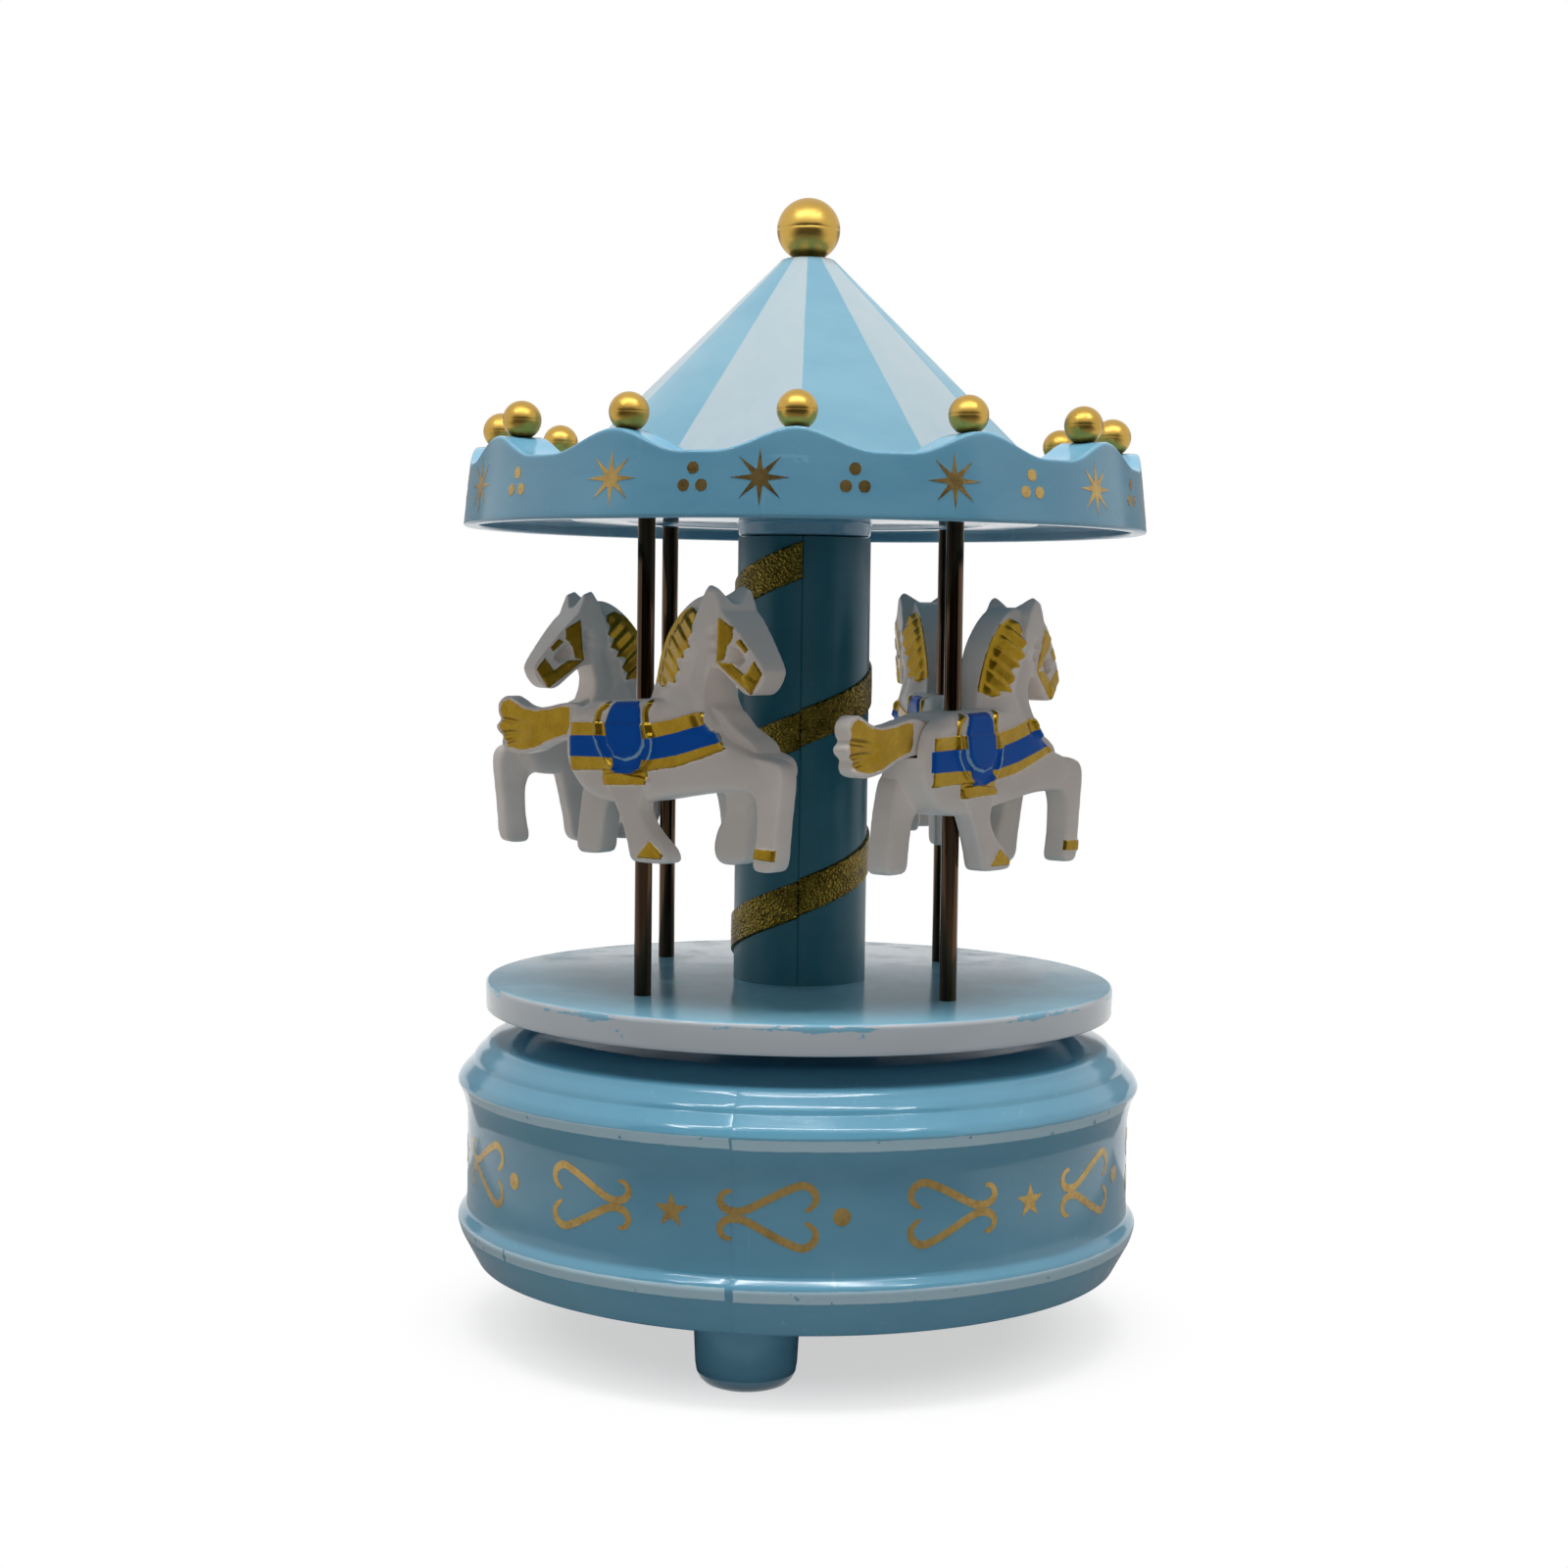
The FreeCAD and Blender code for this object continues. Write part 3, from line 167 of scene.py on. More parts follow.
def make_table_white():
    """White table that keeps a pale shadow near the object and turns into the white room further out."""
    material = plain_surface("table_white", TABLE_WHITE, 0.9)
    tree = material.node_tree
    shader = tree.nodes["Principled BSDF"]
    looked = looked_at(tree)
    feed(tree, shader.inputs["Base Color"], blend(tree, looked, TABLE_BOUNCE, TABLE_WHITE))
    away = tree.nodes.new("ShaderNodeVectorMath")
    away.operation = "LENGTH"
    feed(tree, away.inputs[0], coordinates(tree))
    white = ease(tree, away.outputs["Value"], SHADOW_REACH, WHITE_FROM, SHADOW_PALE, 1.0)
    glow = tree.nodes.new("ShaderNodeEmission")
    mix = tree.nodes.new("ShaderNodeMixShader")
    feed(tree, mix.inputs[0], maths(tree, "MULTIPLY", white, looked))
    feed(tree, mix.inputs[1], shader.outputs[0])
    feed(tree, mix.inputs[2], glow.outputs[0])
    feed(tree, tree.nodes["Material Output"].inputs["Surface"], mix.outputs[0])
    return material


bpy.ops.object.select_all(action="DESELECT")
bpy.ops.mesh.primitive_plane_add(size=TABLE_SIZE)
table = bpy.context.object
table.name = "table"
table.data.materials.append(make_table_white())

world = bpy.context.scene.world or bpy.data.worlds.new("room")
bpy.context.scene.world = world
world.use_nodes = True
room = world.node_tree
sky = room.nodes["Background"]
sky.inputs["Color"].default_value = (1.0, 1.0, 1.0, 1.0)
white_or_fill = maths(room, "MULTIPLY_ADD", looked_at(room), 1.0 - ROOM_FILL, ROOM_FILL)
feed(room, sky.inputs["Strength"], white_or_fill)
print("table and room are white")

# %% [markdown]
# ## What the gloss shows
# Glossy plastic and metal show what stands round them. The balls have a dark band and the poles have black
# middles, so the room in front was dark. Cards that only reflections can see do that without taking any
# light from the object: black ones in front, grey ones on the table and a pale one behind. Four thin lamps
# high in front make the bright outlines on the drum's shoulder.

# %% Cards for the reflections
CARD_BLACK = plain_surface("card_black", (0.006, 0.005, 0.005, 1.0))
CARD_GREY = plain_surface("card_grey", (0.36, 0.36, 0.36, 1.0))
CARD_PALE = plain_surface("card_pale", (0.05, 0.05, 0.05, 1.0))
CARD_GLOW = 0.28
card_shader = CARD_PALE.node_tree.nodes["Principled BSDF"]
card_shader.inputs["Emission Color"].default_value = (1.0, 1.0, 1.0, 1.0)
card_shader.inputs["Emission Strength"].default_value = CARD_GLOW
UPRIGHT = (math.radians(90), 0, 0)
LYING = (0, 0, 0)


def reflection_card(name, size, place, turn, material):
    """A card of a width and a depth that only reflections see."""
    bpy.ops.object.select_all(action="DESELECT")
    bpy.ops.mesh.primitive_plane_add(size=1, location=place, rotation=turn)
    plane = bpy.context.object
    plane.name = name
    plane.scale = (size[0], size[1], 1)
    plane.data.materials.append(material)
    plane.visible_camera = False
    plane.visible_shadow = False
    plane.visible_diffuse = False


reflection_card("front_card", (1.15, 0.42), (0, -0.62, 0.21), UPRIGHT, CARD_BLACK)
reflection_card("near_card", (0.32, 0.07), (0, -0.118, 0.128), UPRIGHT, CARD_BLACK)
reflection_card("front_floor_card", (1.15, 0.49), (0, -0.375, 0.002), LYING, CARD_GREY)
reflection_card("under_card", (0.26, 0.22), (0, -0.02, 0.002), LYING, CARD_GREY)
reflection_card("back_card", (1.4, 0.18), (0, 0.62, 0.205), UPRIGHT, CARD_PALE)
print("cards stand round the object")

# %% Lamps
MIDDLE = (0, 0, 0.08)
FRAME_HALF = 0.32
FRAME_FRONT, FRAME_BACK, FRAME_LEVEL = -0.36, -0.22, 0.56
FRAME_STRIP = 0.012
LONG_WATTS, SHORT_WATTS = 0.9, 0.25


def lamp(name, size, place, aim, watts):
    """A rectangular lamp that shines from a place towards another."""
    bpy.ops.object.select_all(action="DESELECT")
    bpy.ops.object.light_add(type="AREA", location=place)
    light = bpy.context.object
    light.name = name
    light.data.shape = "RECTANGLE"
    light.data.size, light.data.size_y = size
    light.data.energy = watts
    light.rotation_euler = (Vector(aim) - Vector(place)).to_track_quat("-Z", "Y").to_euler()
    return light


lamp("soft_front", (0.6, 0.5), (0, -0.75, 0.3), MIDDLE, 0.6)
for name, size, place, watts in (
    ("soft_top", (0.5, 0.24), (0, -0.15, 0.9), 7.8),
    ("soft_back_left", (0.4, 0.36), (-0.42, 0.38, 0.24), 0.68),
    ("soft_back_right", (0.4, 0.36), (0.42, 0.38, 0.24), 0.68),
):
    lamp(name, size, place, MIDDLE, watts).visible_glossy = False

frame_long = (2 * FRAME_HALF, FRAME_STRIP)
frame_short = (FRAME_STRIP, FRAME_BACK - FRAME_FRONT)
frame_middle = (FRAME_FRONT + FRAME_BACK) / 2
for name, size, x, y, watts in (
    ("strip_front", frame_long, 0, FRAME_FRONT, LONG_WATTS),
    ("strip_back", frame_long, 0, FRAME_BACK, LONG_WATTS),
    ("strip_left", frame_short, -FRAME_HALF, frame_middle, SHORT_WATTS),
    ("strip_right", frame_short, FRAME_HALF, frame_middle, SHORT_WATTS),
):
    lamp(name, size, (x, y, FRAME_LEVEL), (x, y, FRAME_LEVEL - 0.1), watts).visible_diffuse = False

# %% [markdown]
# ## Modelling helpers
# Most pieces were turned or moulded, so two helpers do most of the work. One spins a closed outline
# about the centre axis, as a lathe would. The other brings a finished piece to metres, shades it,
# gives it its finish, hangs it on the body that carries it and hides the imported nodes it replaces.

# %% Helpers that select and open a piece
def pick_nothing():
    """Leave edit mode and deselect everything, because an operator acts on all that is selected."""
    if bpy.context.object and bpy.context.object.mode != "OBJECT":
        bpy.ops.object.mode_set(mode="OBJECT")
    bpy.ops.object.select_all(action="DESELECT")


def pick(*pieces):
    """Select only these pieces, the first one active."""
    pick_nothing()
    for piece in pieces:
        piece.select_set(True)
    bpy.context.view_layer.objects.active = pieces[0]


def edit(piece):
    """Open a piece in edit mode with nothing selected."""
    pick(piece)
    bpy.ops.object.mode_set(mode="EDIT")
    bpy.ops.mesh.select_all(action="DESELECT")


def edit_all(piece):
    """Open a piece in edit mode with everything selected."""
    edit(piece)
    bpy.ops.mesh.select_all(action="SELECT")


def leave():
    """Back to object mode."""
    bpy.ops.object.mode_set(mode="OBJECT")


def face_outwards(piece):
    """Flip an open skin whose faces look towards the centre axis."""
    face = piece.data.polygons[0]
    if face.normal.dot(Vector((face.center.x, face.center.y, 0))) < 0:
        edit_all(piece)
        bpy.ops.mesh.flip_normals()
        leave()


def close_up(threshold=0.005):
    """Merge doubled points and turn all faces outwards, in edit mode."""
    bpy.ops.mesh.select_all(action="SELECT")
    bpy.ops.mesh.remove_doubles(threshold=threshold)
    bpy.ops.mesh.normals_make_consistent(inside=False)


def apply_modifier(piece, kind, **settings):
    """Add a modifier with its settings and apply it."""
    pick(piece)
    modifier = piece.modifiers.new(kind.lower(), kind)
    for setting, value in settings.items():
        setattr(modifier, setting, value)
    bpy.ops.object.modifier_apply(modifier=modifier.name)


# %% Helpers that round an outline and spin it
STEPS = 240


def rounded(corners, steps=5):
    """An outline whose corners (x, y, round) are softened by curves that start that far from the corner."""
    outline = []
    for i, (x, y, size) in enumerate(corners):
        here = Vector((x, y))
        if size <= 0:
            outline.append((x, y))
            continue
        before = Vector(corners[i - 1][:2]) - here
        after = Vector(corners[(i + 1) % len(corners)][:2]) - here
        start = here + before.normalized() * size
        end = here + after.normalized() * size
        for k in range(steps + 1):
            t = k / steps
            point = start * (1 - t) ** 2 + here * 2 * t * (1 - t) + end * t ** 2
            outline.append((point.x, point.y))
    return outline


def turned(name, outline, first_angle=-90.0, steps=STEPS):
    """Spin a closed outline of (radius, height) points about the centre axis."""
    pick_nothing()
    bpy.ops.mesh.primitive_circle_add(vertices=len(outline), fill_type="NOTHING")
    piece = bpy.context.object
    piece.name = name
    turn = math.radians(first_angle)
    for corner, (radius, height) in zip(piece.data.vertices, outline):
        corner.co = (radius * math.cos(turn), radius * math.sin(turn), height)
    edit_all(piece)
    bpy.ops.mesh.spin(steps=steps, angle=math.tau, center=(0, 0, 0), axis=(0, 0, 1))
    close_up()
    leave()
    return piece


# %% Helpers for points and angles
def select_points(piece, test):
    """In object mode, select the points that pass a test, and the edges and faces they make up."""
    mesh = piece.data
    chosen = [test(v.co) for v in mesh.vertices]
    for v, on in zip(mesh.vertices, chosen):
        v.select = on
    for e in mesh.edges:
        e.select = all(chosen[i] for i in e.vertices)
    for f in mesh.polygons:
        f.select = all(chosen[i] for i in f.vertices)


def angle_of(point):
    """Angle of a point about the centre axis, in degrees from +X."""
    return math.degrees(math.atan2(point[1], point[0]))


def apart(a, b):
    """Size of the turn between two angles in degrees."""
    return abs((a - b + 180.0) % 360.0 - 180.0)


def polar(radius, angle, height=0.0):
    """A point by its radius and angle about the centre axis."""
    turn = math.radians(angle)
    return Vector((radius * math.cos(turn), radius * math.sin(turn), height))


# %% Helper that hands a piece over
made = []


def hand_over(piece, name, body, materials, nodes=(), smooth=35.0):
    """Bring a piece to metres, shade it, give it its finishes, hang it on the body that carries it and hide
    the imported nodes it replaces.
    """
    pick(piece)
    piece.name = name
    piece.data.name = name
    piece.data.transform(Matrix.Scale(MM, 4))
    bpy.ops.object.shade_smooth_by_angle(angle=math.radians(smooth))
    for material in materials:
        piece.data.materials.append(material)
    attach(piece, body)
    if nodes:
        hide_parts(*nodes)
    made.append(piece)
    print(name, len(piece.data.polygons), "faces")


# %% [markdown]
# ## Shared surface effects
# Four effects come back on many pieces, so each is a node group: the faint ripple and tone of moulded
# plastic, fine scuffs, the wobbling edge of paint that was printed or wiped on, and the uneven shine of
# stamped gold foil. All of them read Object coordinates, which are metres here.

# %% Helpers for materials
def colour(red, green, blue):
    """A paint-chart colour (0 to 255) made linear for the shader."""
    def linear(part):
        part /= 255.0
        return part / 12.92 if part <= 0.04045 else ((part + 0.055) / 1.055) ** 2.4
    return (linear(red), linear(green), linear(blue), 1.0)


def axes(tree):
    """The three Object coordinates, in millimetres."""
    node = tree.nodes.new("ShaderNodeSeparateXYZ")
    feed(tree, node.inputs[0], coordinates(tree))
    return [maths(tree, "DIVIDE", part, MM) for part in node.outputs]


def stretched(tree, scale):
    """Object coordinates stretched by a scale on each axis."""
    node = tree.nodes.new("ShaderNodeMapping")
    feed(tree, node.inputs["Vector"], coordinates(tree))
    node.inputs["Scale"].default_value = scale
    return node.outputs[0]


def noise(tree, vector, scale, detail=2.0, roughness=0.5):
    """Soft noise between 0 and 1."""
    node = tree.nodes.new("ShaderNodeTexNoise")
    feed(tree, node.inputs["Vector"], vector)
    feed(tree, node.inputs["Scale"], scale)
    node.inputs["Detail"].default_value = detail
    node.inputs["Roughness"].default_value = roughness
    return node.outputs[0]


def new_group(name, inputs, outputs):
    """A node group with named number sockets."""
    group = bpy.data.node_groups.new(name, "ShaderNodeTree")
    for label, value in inputs.items():
        socket = group.interface.new_socket(label, in_out="INPUT", socket_type="NodeSocketFloat")
        socket.default_value = value
    for label in outputs:
        group.interface.new_socket(label, in_out="OUTPUT", socket_type="NodeSocketFloat")
    return group, group.nodes.new("NodeGroupInput"), group.nodes.new("NodeGroupOutput")


def place_group(tree, group, **values):
    """Place a group in a material with its own values, and return its outputs by name."""
    node = tree.nodes.new("ShaderNodeGroup")
    node.node_tree = group
    for label, value in values.items():
        feed(tree, node.inputs[label.replace("_", " ").capitalize()], value)
    return node.outputs


# %% Moulded skin, scuffs, painted edge and foil
skin, skin_in, skin_out = new_group(
    "moulded skin", {"Shine": 0.25, "Smudge": 0.12}, ["Height", "Tone", "Roughness"],
)
ripple = noise(skin, coordinates(skin), 260.0, 3.0)
grain = noise(skin, coordinates(skin), 2600.0, 2.0)
flow = noise(skin, stretched(skin, (1.0, 1.0, 2.5)), 45.0, 4.0, 0.6)
smudge = noise(skin, coordinates(skin), 110.0, 5.0, 0.65)
feed(skin, skin_out.inputs["Height"], maths(skin, "MULTIPLY_ADD", grain, 0.15, ripple))
feed(skin, skin_out.inputs["Tone"], ease(skin, flow, 0.3, 0.72))
smudged = maths(skin, "MULTIPLY", ease(skin, smudge, 0.42, 0.7), skin_in.outputs["Smudge"])
feed(skin, skin_out.inputs["Roughness"], maths(skin, "ADD", skin_in.outputs["Shine"], smudged))

scuffs, scuffs_in, scuffs_out = new_group("scuffs", {"Amount": 0.5}, ["Mask"])
marks = None
for scale in ((900.0, 900.0, 40.0), (60.0, 700.0, 900.0), (700.0, 90.0, 500.0)):
    line = ease(scuffs, noise(scuffs, stretched(scuffs, scale), 1.0, 1.0), 0.70, 0.78)
    marks = line if marks is None else maths(scuffs, "MAXIMUM", marks, line)
where = ease(scuffs, noise(scuffs, coordinates(scuffs), 70.0, 3.0), 0.48, 0.68)
marks = maths(scuffs, "MULTIPLY", marks, where)
feed(scuffs, scuffs_out.inputs["Mask"], maths(scuffs, "MULTIPLY", marks, scuffs_in.outputs["Amount"]))

edge, edge_in, edge_out = new_group(
    "painted edge", {"Inside": 0.0, "Wobble": 0.1, "Scale": 900.0, "Softness": 0.05}, ["Mask"],
)
wander = maths(edge, "SUBTRACT", noise(edge, coordinates(edge), edge_in.outputs["Scale"], 3.0), 0.5)
wander = maths(edge, "MULTIPLY", wander, maths(edge, "MULTIPLY", edge_in.outputs["Wobble"], 2.0))
moved = maths(edge, "ADD", edge_in.outputs["Inside"], wander)
softness = edge_in.outputs["Softness"]
feed(edge, edge_out.inputs["Mask"], ease(edge, moved, maths(edge, "MULTIPLY", softness, -1.0), softness))

foil, foil_in, foil_out = new_group("stamped foil", {"Shine": 0.22}, ["Tone", "Roughness", "Height"])
cloud = noise(foil, coordinates(foil), 380.0, 4.0, 0.6)
speck = noise(foil, coordinates(foil), 2400.0, 2.0)
feed(foil, foil_out.inputs["Tone"], ease(foil, maths(foil, "MULTIPLY_ADD", speck, 0.35, cloud), 0.45, 0.85))
feed(foil, foil_out.inputs["Roughness"], maths(foil, "MULTIPLY_ADD", cloud, 0.16, foil_in.outputs["Shine"]))
feed(foil, foil_out.inputs["Height"], maths(foil, "MULTIPLY_ADD", speck, 0.4, cloud))
print("effects:", [group.name for group in (skin, scuffs, edge, foil)])


# %% Helper for a finish
def new_finish(name):
    """A material with its shader ready, and its node tree."""
    material = bpy.data.materials.new(name)
    material.use_nodes = True
    tree = material.node_tree
    return material, tree, tree.nodes["Principled BSDF"].inputs


def raise_surface(tree, shader, height, distance, strength):
    """Drive the shader's normal with a bump of a real height in millimetres."""
    node = tree.nodes.new("ShaderNodeBump")
    node.inputs["Strength"].default_value = strength
    node.inputs["Distance"].default_value = distance * MM
    feed(tree, node.inputs["Height"], height)
    feed(tree, shader["Normal"], node.outputs[0])


# %% [markdown]
# ## The finishes
# The body is moulded in sky-blue plastic with a good gloss. Its pieces don't match exactly, so drum,
# turntable, column and roof each have their own tint of it, and two tints also hold painted shade: the
# drum's is a little darker for the light falling off towards the bottom, and the column's much darker for
# the canopy's shade over it. On the plastic come thin white paint, stamped gold and, on the roof, pale
# stripes. The balls are lacquered gold, the poles are plated dark brass, and the horses are a warm white
# plastic with gold and royal blue printing. Painted images could hold all that, but node materials stay
# sharp at any distance and need no unwrapping.

# %% Sky-blue plastic
SKY_BLUE = colour(115, 175, 203)
SKY_BLUE_DEEP = colour(102, 164, 194)
# The drum's blue is a little darker than the rest, as painted shade of the light falling off towards the
# bottom.
SHADED_DRUM_BLUE = colour(108, 171, 198)
SHADED_DRUM_BLUE_DEEP = colour(98, 162, 191)
# The column's teal is darker than its plastic, as painted shade of the canopy over it.
SHADED_COLUMN_TEAL = colour(50, 113, 129)
SHADED_COLUMN_TEAL_DEEP = colour(43, 105, 121)
TRAY_BLUE = colour(140, 198, 222)
TRAY_BLUE_DEEP = colour(129, 189, 214)
WORN_BLUE = colour(150, 200, 221)
THIN_WHITE = colour(205, 213, 219)
RING_WHITE = colour(192, 225, 239)


def blue_base(
    tree, shader, shine=0.16, smudge=0.12, scuff=0.35, tones=(SKY_BLUE_DEEP, SKY_BLUE), wave=0.6,
):
    """Lay the blue plastic's gloss and ripple, and return its colour."""
    surface = place_group(tree, skin, shine=shine, smudge=smudge)
    marks = place_group(tree, scuffs, amount=scuff)["Mask"]
    feed(tree, shader["Roughness"], surface["Roughness"])
    raise_surface(tree, shader, surface["Height"], 0.012, wave)
    tone = blend(tree, surface["Tone"], *tones)
    return blend(tree, marks, tone, WORN_BLUE)


def make_blue_plastic():
    """Plain blue plastic, for pieces without paint."""
    material, tree, shader = new_finish("blue_plastic")
    feed(tree, shader["Base Color"], blue_base(tree, shader))
    return material


def make_ceiling_plastic():
    """The ceiling's plastic, which came out of a polished mould."""
    material, tree, shader = new_finish("ceiling_plastic")
    feed(tree, shader["Base Color"], blue_base(tree, shader, 0.07, 0.05, 0.2))
    return material


def make_shaded_column_plastic():
    """The column's plastic: a deeper teal than the rest, and darker still as painted shade of the canopy
    over it.
    """
    material, tree, shader = new_finish("shaded_column_plastic")
    plastic = blue_base(tree, shader, 0.3, 0.1, 0.1, (SHADED_COLUMN_TEAL_DEEP, SHADED_COLUMN_TEAL))
    feed(tree, shader["Base Color"], plastic)
    shader["Specular IOR Level"].default_value = 0.3
    return material


blue_plastic = make_blue_plastic()
ceiling_plastic = make_ceiling_plastic()
shaded_column_plastic = make_shaded_column_plastic()
print("plastics:", [finish.name for finish in (blue_plastic, ceiling_plastic, shaded_column_plastic)])


# %% Gold lacquer, stamped foil and hammered foil
def make_gold_lacquer():
    """Satin gold of the balls and the finial."""
    material, tree, shader = new_finish("gold_lacquer")
    surface = place_group(tree, skin, shine=0.3, smudge=0.1)
    tone = blend(tree, surface["Tone"], colour(184, 148, 70), colour(202, 165, 84))
    feed(tree, shader["Base Color"], tone)
    feed(tree, shader["Roughness"], surface["Roughness"])
    shader["Metallic"].default_value = 1.0
    raise_surface(tree, shader, surface["Height"], 0.01, 0.7)
    return material


def make_gold_foil(name, shine, bright, dark, hammered=0.0):
    """Stamped gold, plain or over a hammered face."""
    material, tree, shader = new_finish(name)
    surface = place_group(tree, foil, shine=shine)
    feed(tree, shader["Base Color"], blend(tree, surface["Tone"], dark, bright))
    feed(tree, shader["Roughness"], surface["Roughness"])
    shader["Metallic"].default_value = 1.0
    height = surface["Height"]
    if hammered:
        dents = tree.nodes.new("ShaderNodeTexVoronoi")
        dents.feature = "SMOOTH_F1"
        dents.inputs["Scale"].default_value = 2900.0
        feed(tree, dents.inputs["Vector"], coordinates(tree))
        height = maths(tree, "MULTIPLY_ADD", dents.outputs["Distance"], hammered, height)
    raise_surface(tree, shader, height, 0.16 if hammered else 0.03, 0.6)
    return material


gold_lacquer = make_gold_lacquer()
gold_foil = make_gold_foil("gold_foil", 0.2, colour(186, 156, 96), colour(160, 132, 78))
# The hammered gold is darker than the drum's foil, in part as painted shade of the canopy over the column.
shaded_hammered_foil = make_gold_foil("shaded_hammered_foil", 0.2, colour(126, 107, 44), colour(84, 69, 23), 4.0)
print("golds:", [finish.name for finish in (gold_lacquer, gold_foil, shaded_hammered_foil)])


# %% Antique brass of the poles
def make_antique_brass():
    """Dark plated tube with drawing lines along its length."""
    material, tree, shader = new_finish("antique_brass")
    drawn = noise(tree, stretched(tree, (1500.0, 1500.0, 18.0)), 1.0, 3.0)
    patches = noise(tree, stretched(tree, (120.0, 120.0, 40.0)), 1.0, 3.0)
    tone = ease(tree, maths(tree, "MULTIPLY_ADD", patches, 0.5, drawn), 0.5, 1.0)
    feed(tree, shader["Base Color"], blend(tree, tone, colour(48, 31, 17), colour(80, 56, 32)))
    feed(tree, shader["Roughness"], maths(tree, "MULTIPLY_ADD", drawn, 0.12, 0.1))
    shader["Metallic"].default_value = 1.0
    shader["Coat Weight"].default_value = 0.3
    shader["Coat Roughness"].default_value = 0.12
    raise_surface(tree, shader, drawn, 0.01, 0.5)
    return material


antique_brass = make_antique_brass()
print("poles:", antique_brass.name)

# %% [markdown]
# ## The movement inside
# The music movement is hidden in the closed drum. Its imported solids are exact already, so they keep their
# meshes and only get what their makers gave them: ground steel, cast zinc, brass and white nylon.

# %% Metals and nylon of the movement
def make_workshop_finish(name, dark, bright, metallic, shine, stretch):
    """A finish for the movement inside the drum: machined metal or moulded nylon."""
    material, tree, shader = new_finish(name)
    tool = noise(tree, stretched(tree, stretch), 1.0, 3.0)
    feed(tree, shader["Base Color"], blend(tree, ease(tree, tool, 0.35, 0.7), dark, bright))
    feed(tree, shader["Roughness"], maths(tree, "MULTIPLY_ADD", tool, 0.2, shine))
    shader["Metallic"].default_value = metallic
    raise_surface(tree, shader, tool, 0.01, 0.5)
    return material


bright_steel = make_workshop_finish(
    "bright_steel", colour(150, 152, 156), colour(196, 198, 200), 1.0, 0.2, (900, 900, 60),
)
cast_zinc = make_workshop_finish(
    "cast_zinc", colour(128, 130, 132), colour(164, 166, 168), 1.0, 0.4, (400, 400, 400),
)
yellow_brass = make_workshop_finish(
    "yellow_brass", colour(176, 140, 64), colour(212, 178, 98), 1.0, 0.22, (60, 900, 900),
)
white_nylon = make_workshop_finish(
    "white_nylon", colour(206, 204, 196), colour(226, 224, 216), 0.0, 0.35, (300, 300, 300),
)

MOVEMENT_FINISH = {
    bright_steel: [
        "winding_stem", "mainspring", "comb", "comb_screws", "cylinder_arbor", "governor_worm",
        "intermediate_arbor", "bedplate_screws", "housing_screws", "governor_screws", "tie_rod",
        "cover_screws",
    ],
    cast_zinc: [
        "bedplate", "spring_housing", "cylinder_bearing_inner", "cylinder_bearing_outer", "governor_frame",
    ],
    yellow_brass: [
        "music_cylinder", "cylinder_pinion", "cylinder_wheel", "crown_wheel", "spring_cover", "worm_wheel",
    ],
    white_nylon: ["platform_hub", "deck_bush", "governor_fly"],
    blue_plastic: ["bottom_cover"],
}
for finish, names in MOVEMENT_FINISH.items():
    for name in names:
        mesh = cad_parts[name].data
        mesh.materials.clear()
        mesh.materials.append(finish)
print("movement nodes finished:", sum(len(names) for names in MOVEMENT_FINISH.values()))

# %% [markdown]
# ## The drum
# The base is a moulded drum with two rounded lips, a sloping shoulder and a rounded edge to its deck. It
# was moulded in halves, so a fine parting line runs up the front and the back. A lathe outline gives the
# shape, and the parting line is cut by bevelling two columns of edges and pushing their middles in. The
# white rings are paint on the lips: they stop just short of the parting line, where the brush jumped.
# They have no thickness to speak of, so they are a mask of the height in the drum's material.

# %% Drum shape
drum_low, drum_high = reach("base_shell")
DRUM_LIP_R = drum_high.x
DRUM_BODY_R = DRUM_LIP_R - 1.5
DRUM_EDGE_R = DRUM_BODY_R - 1.65
DRUM_INNER_R = DRUM_BODY_R - 2.5
DRUM_DECK_R = DRUM_BODY_R - 4.35
DECK_THICKNESS = 2.4
BUSH_HOLE_R = 5.5
PARTING_ANGLES = (-98.5, 81.5)
PARTING_HALF_WIDTH = 0.22
PARTING_DEPTH = 0.10


def cut_parting_line(piece, angles, depth):
    """Bevel the columns of edges at these angles and push their middles in."""
    select_points(piece, lambda p: any(apart(angle_of(p), a) < 0.2 for a in angles))
    bpy.ops.object.mode_set(mode="EDIT")
    bpy.ops.mesh.bevel(offset=PARTING_HALF_WIDTH, segments=2, affect="EDGES")
    leave()
    for v in piece.data.vertices:
        if any(apart(angle_of(v.co), a) < 0.05 for a in angles):
            shrink = 1.0 - depth / Vector((v.co.x, v.co.y)).length
            v.co.x *= shrink
            v.co.y *= shrink


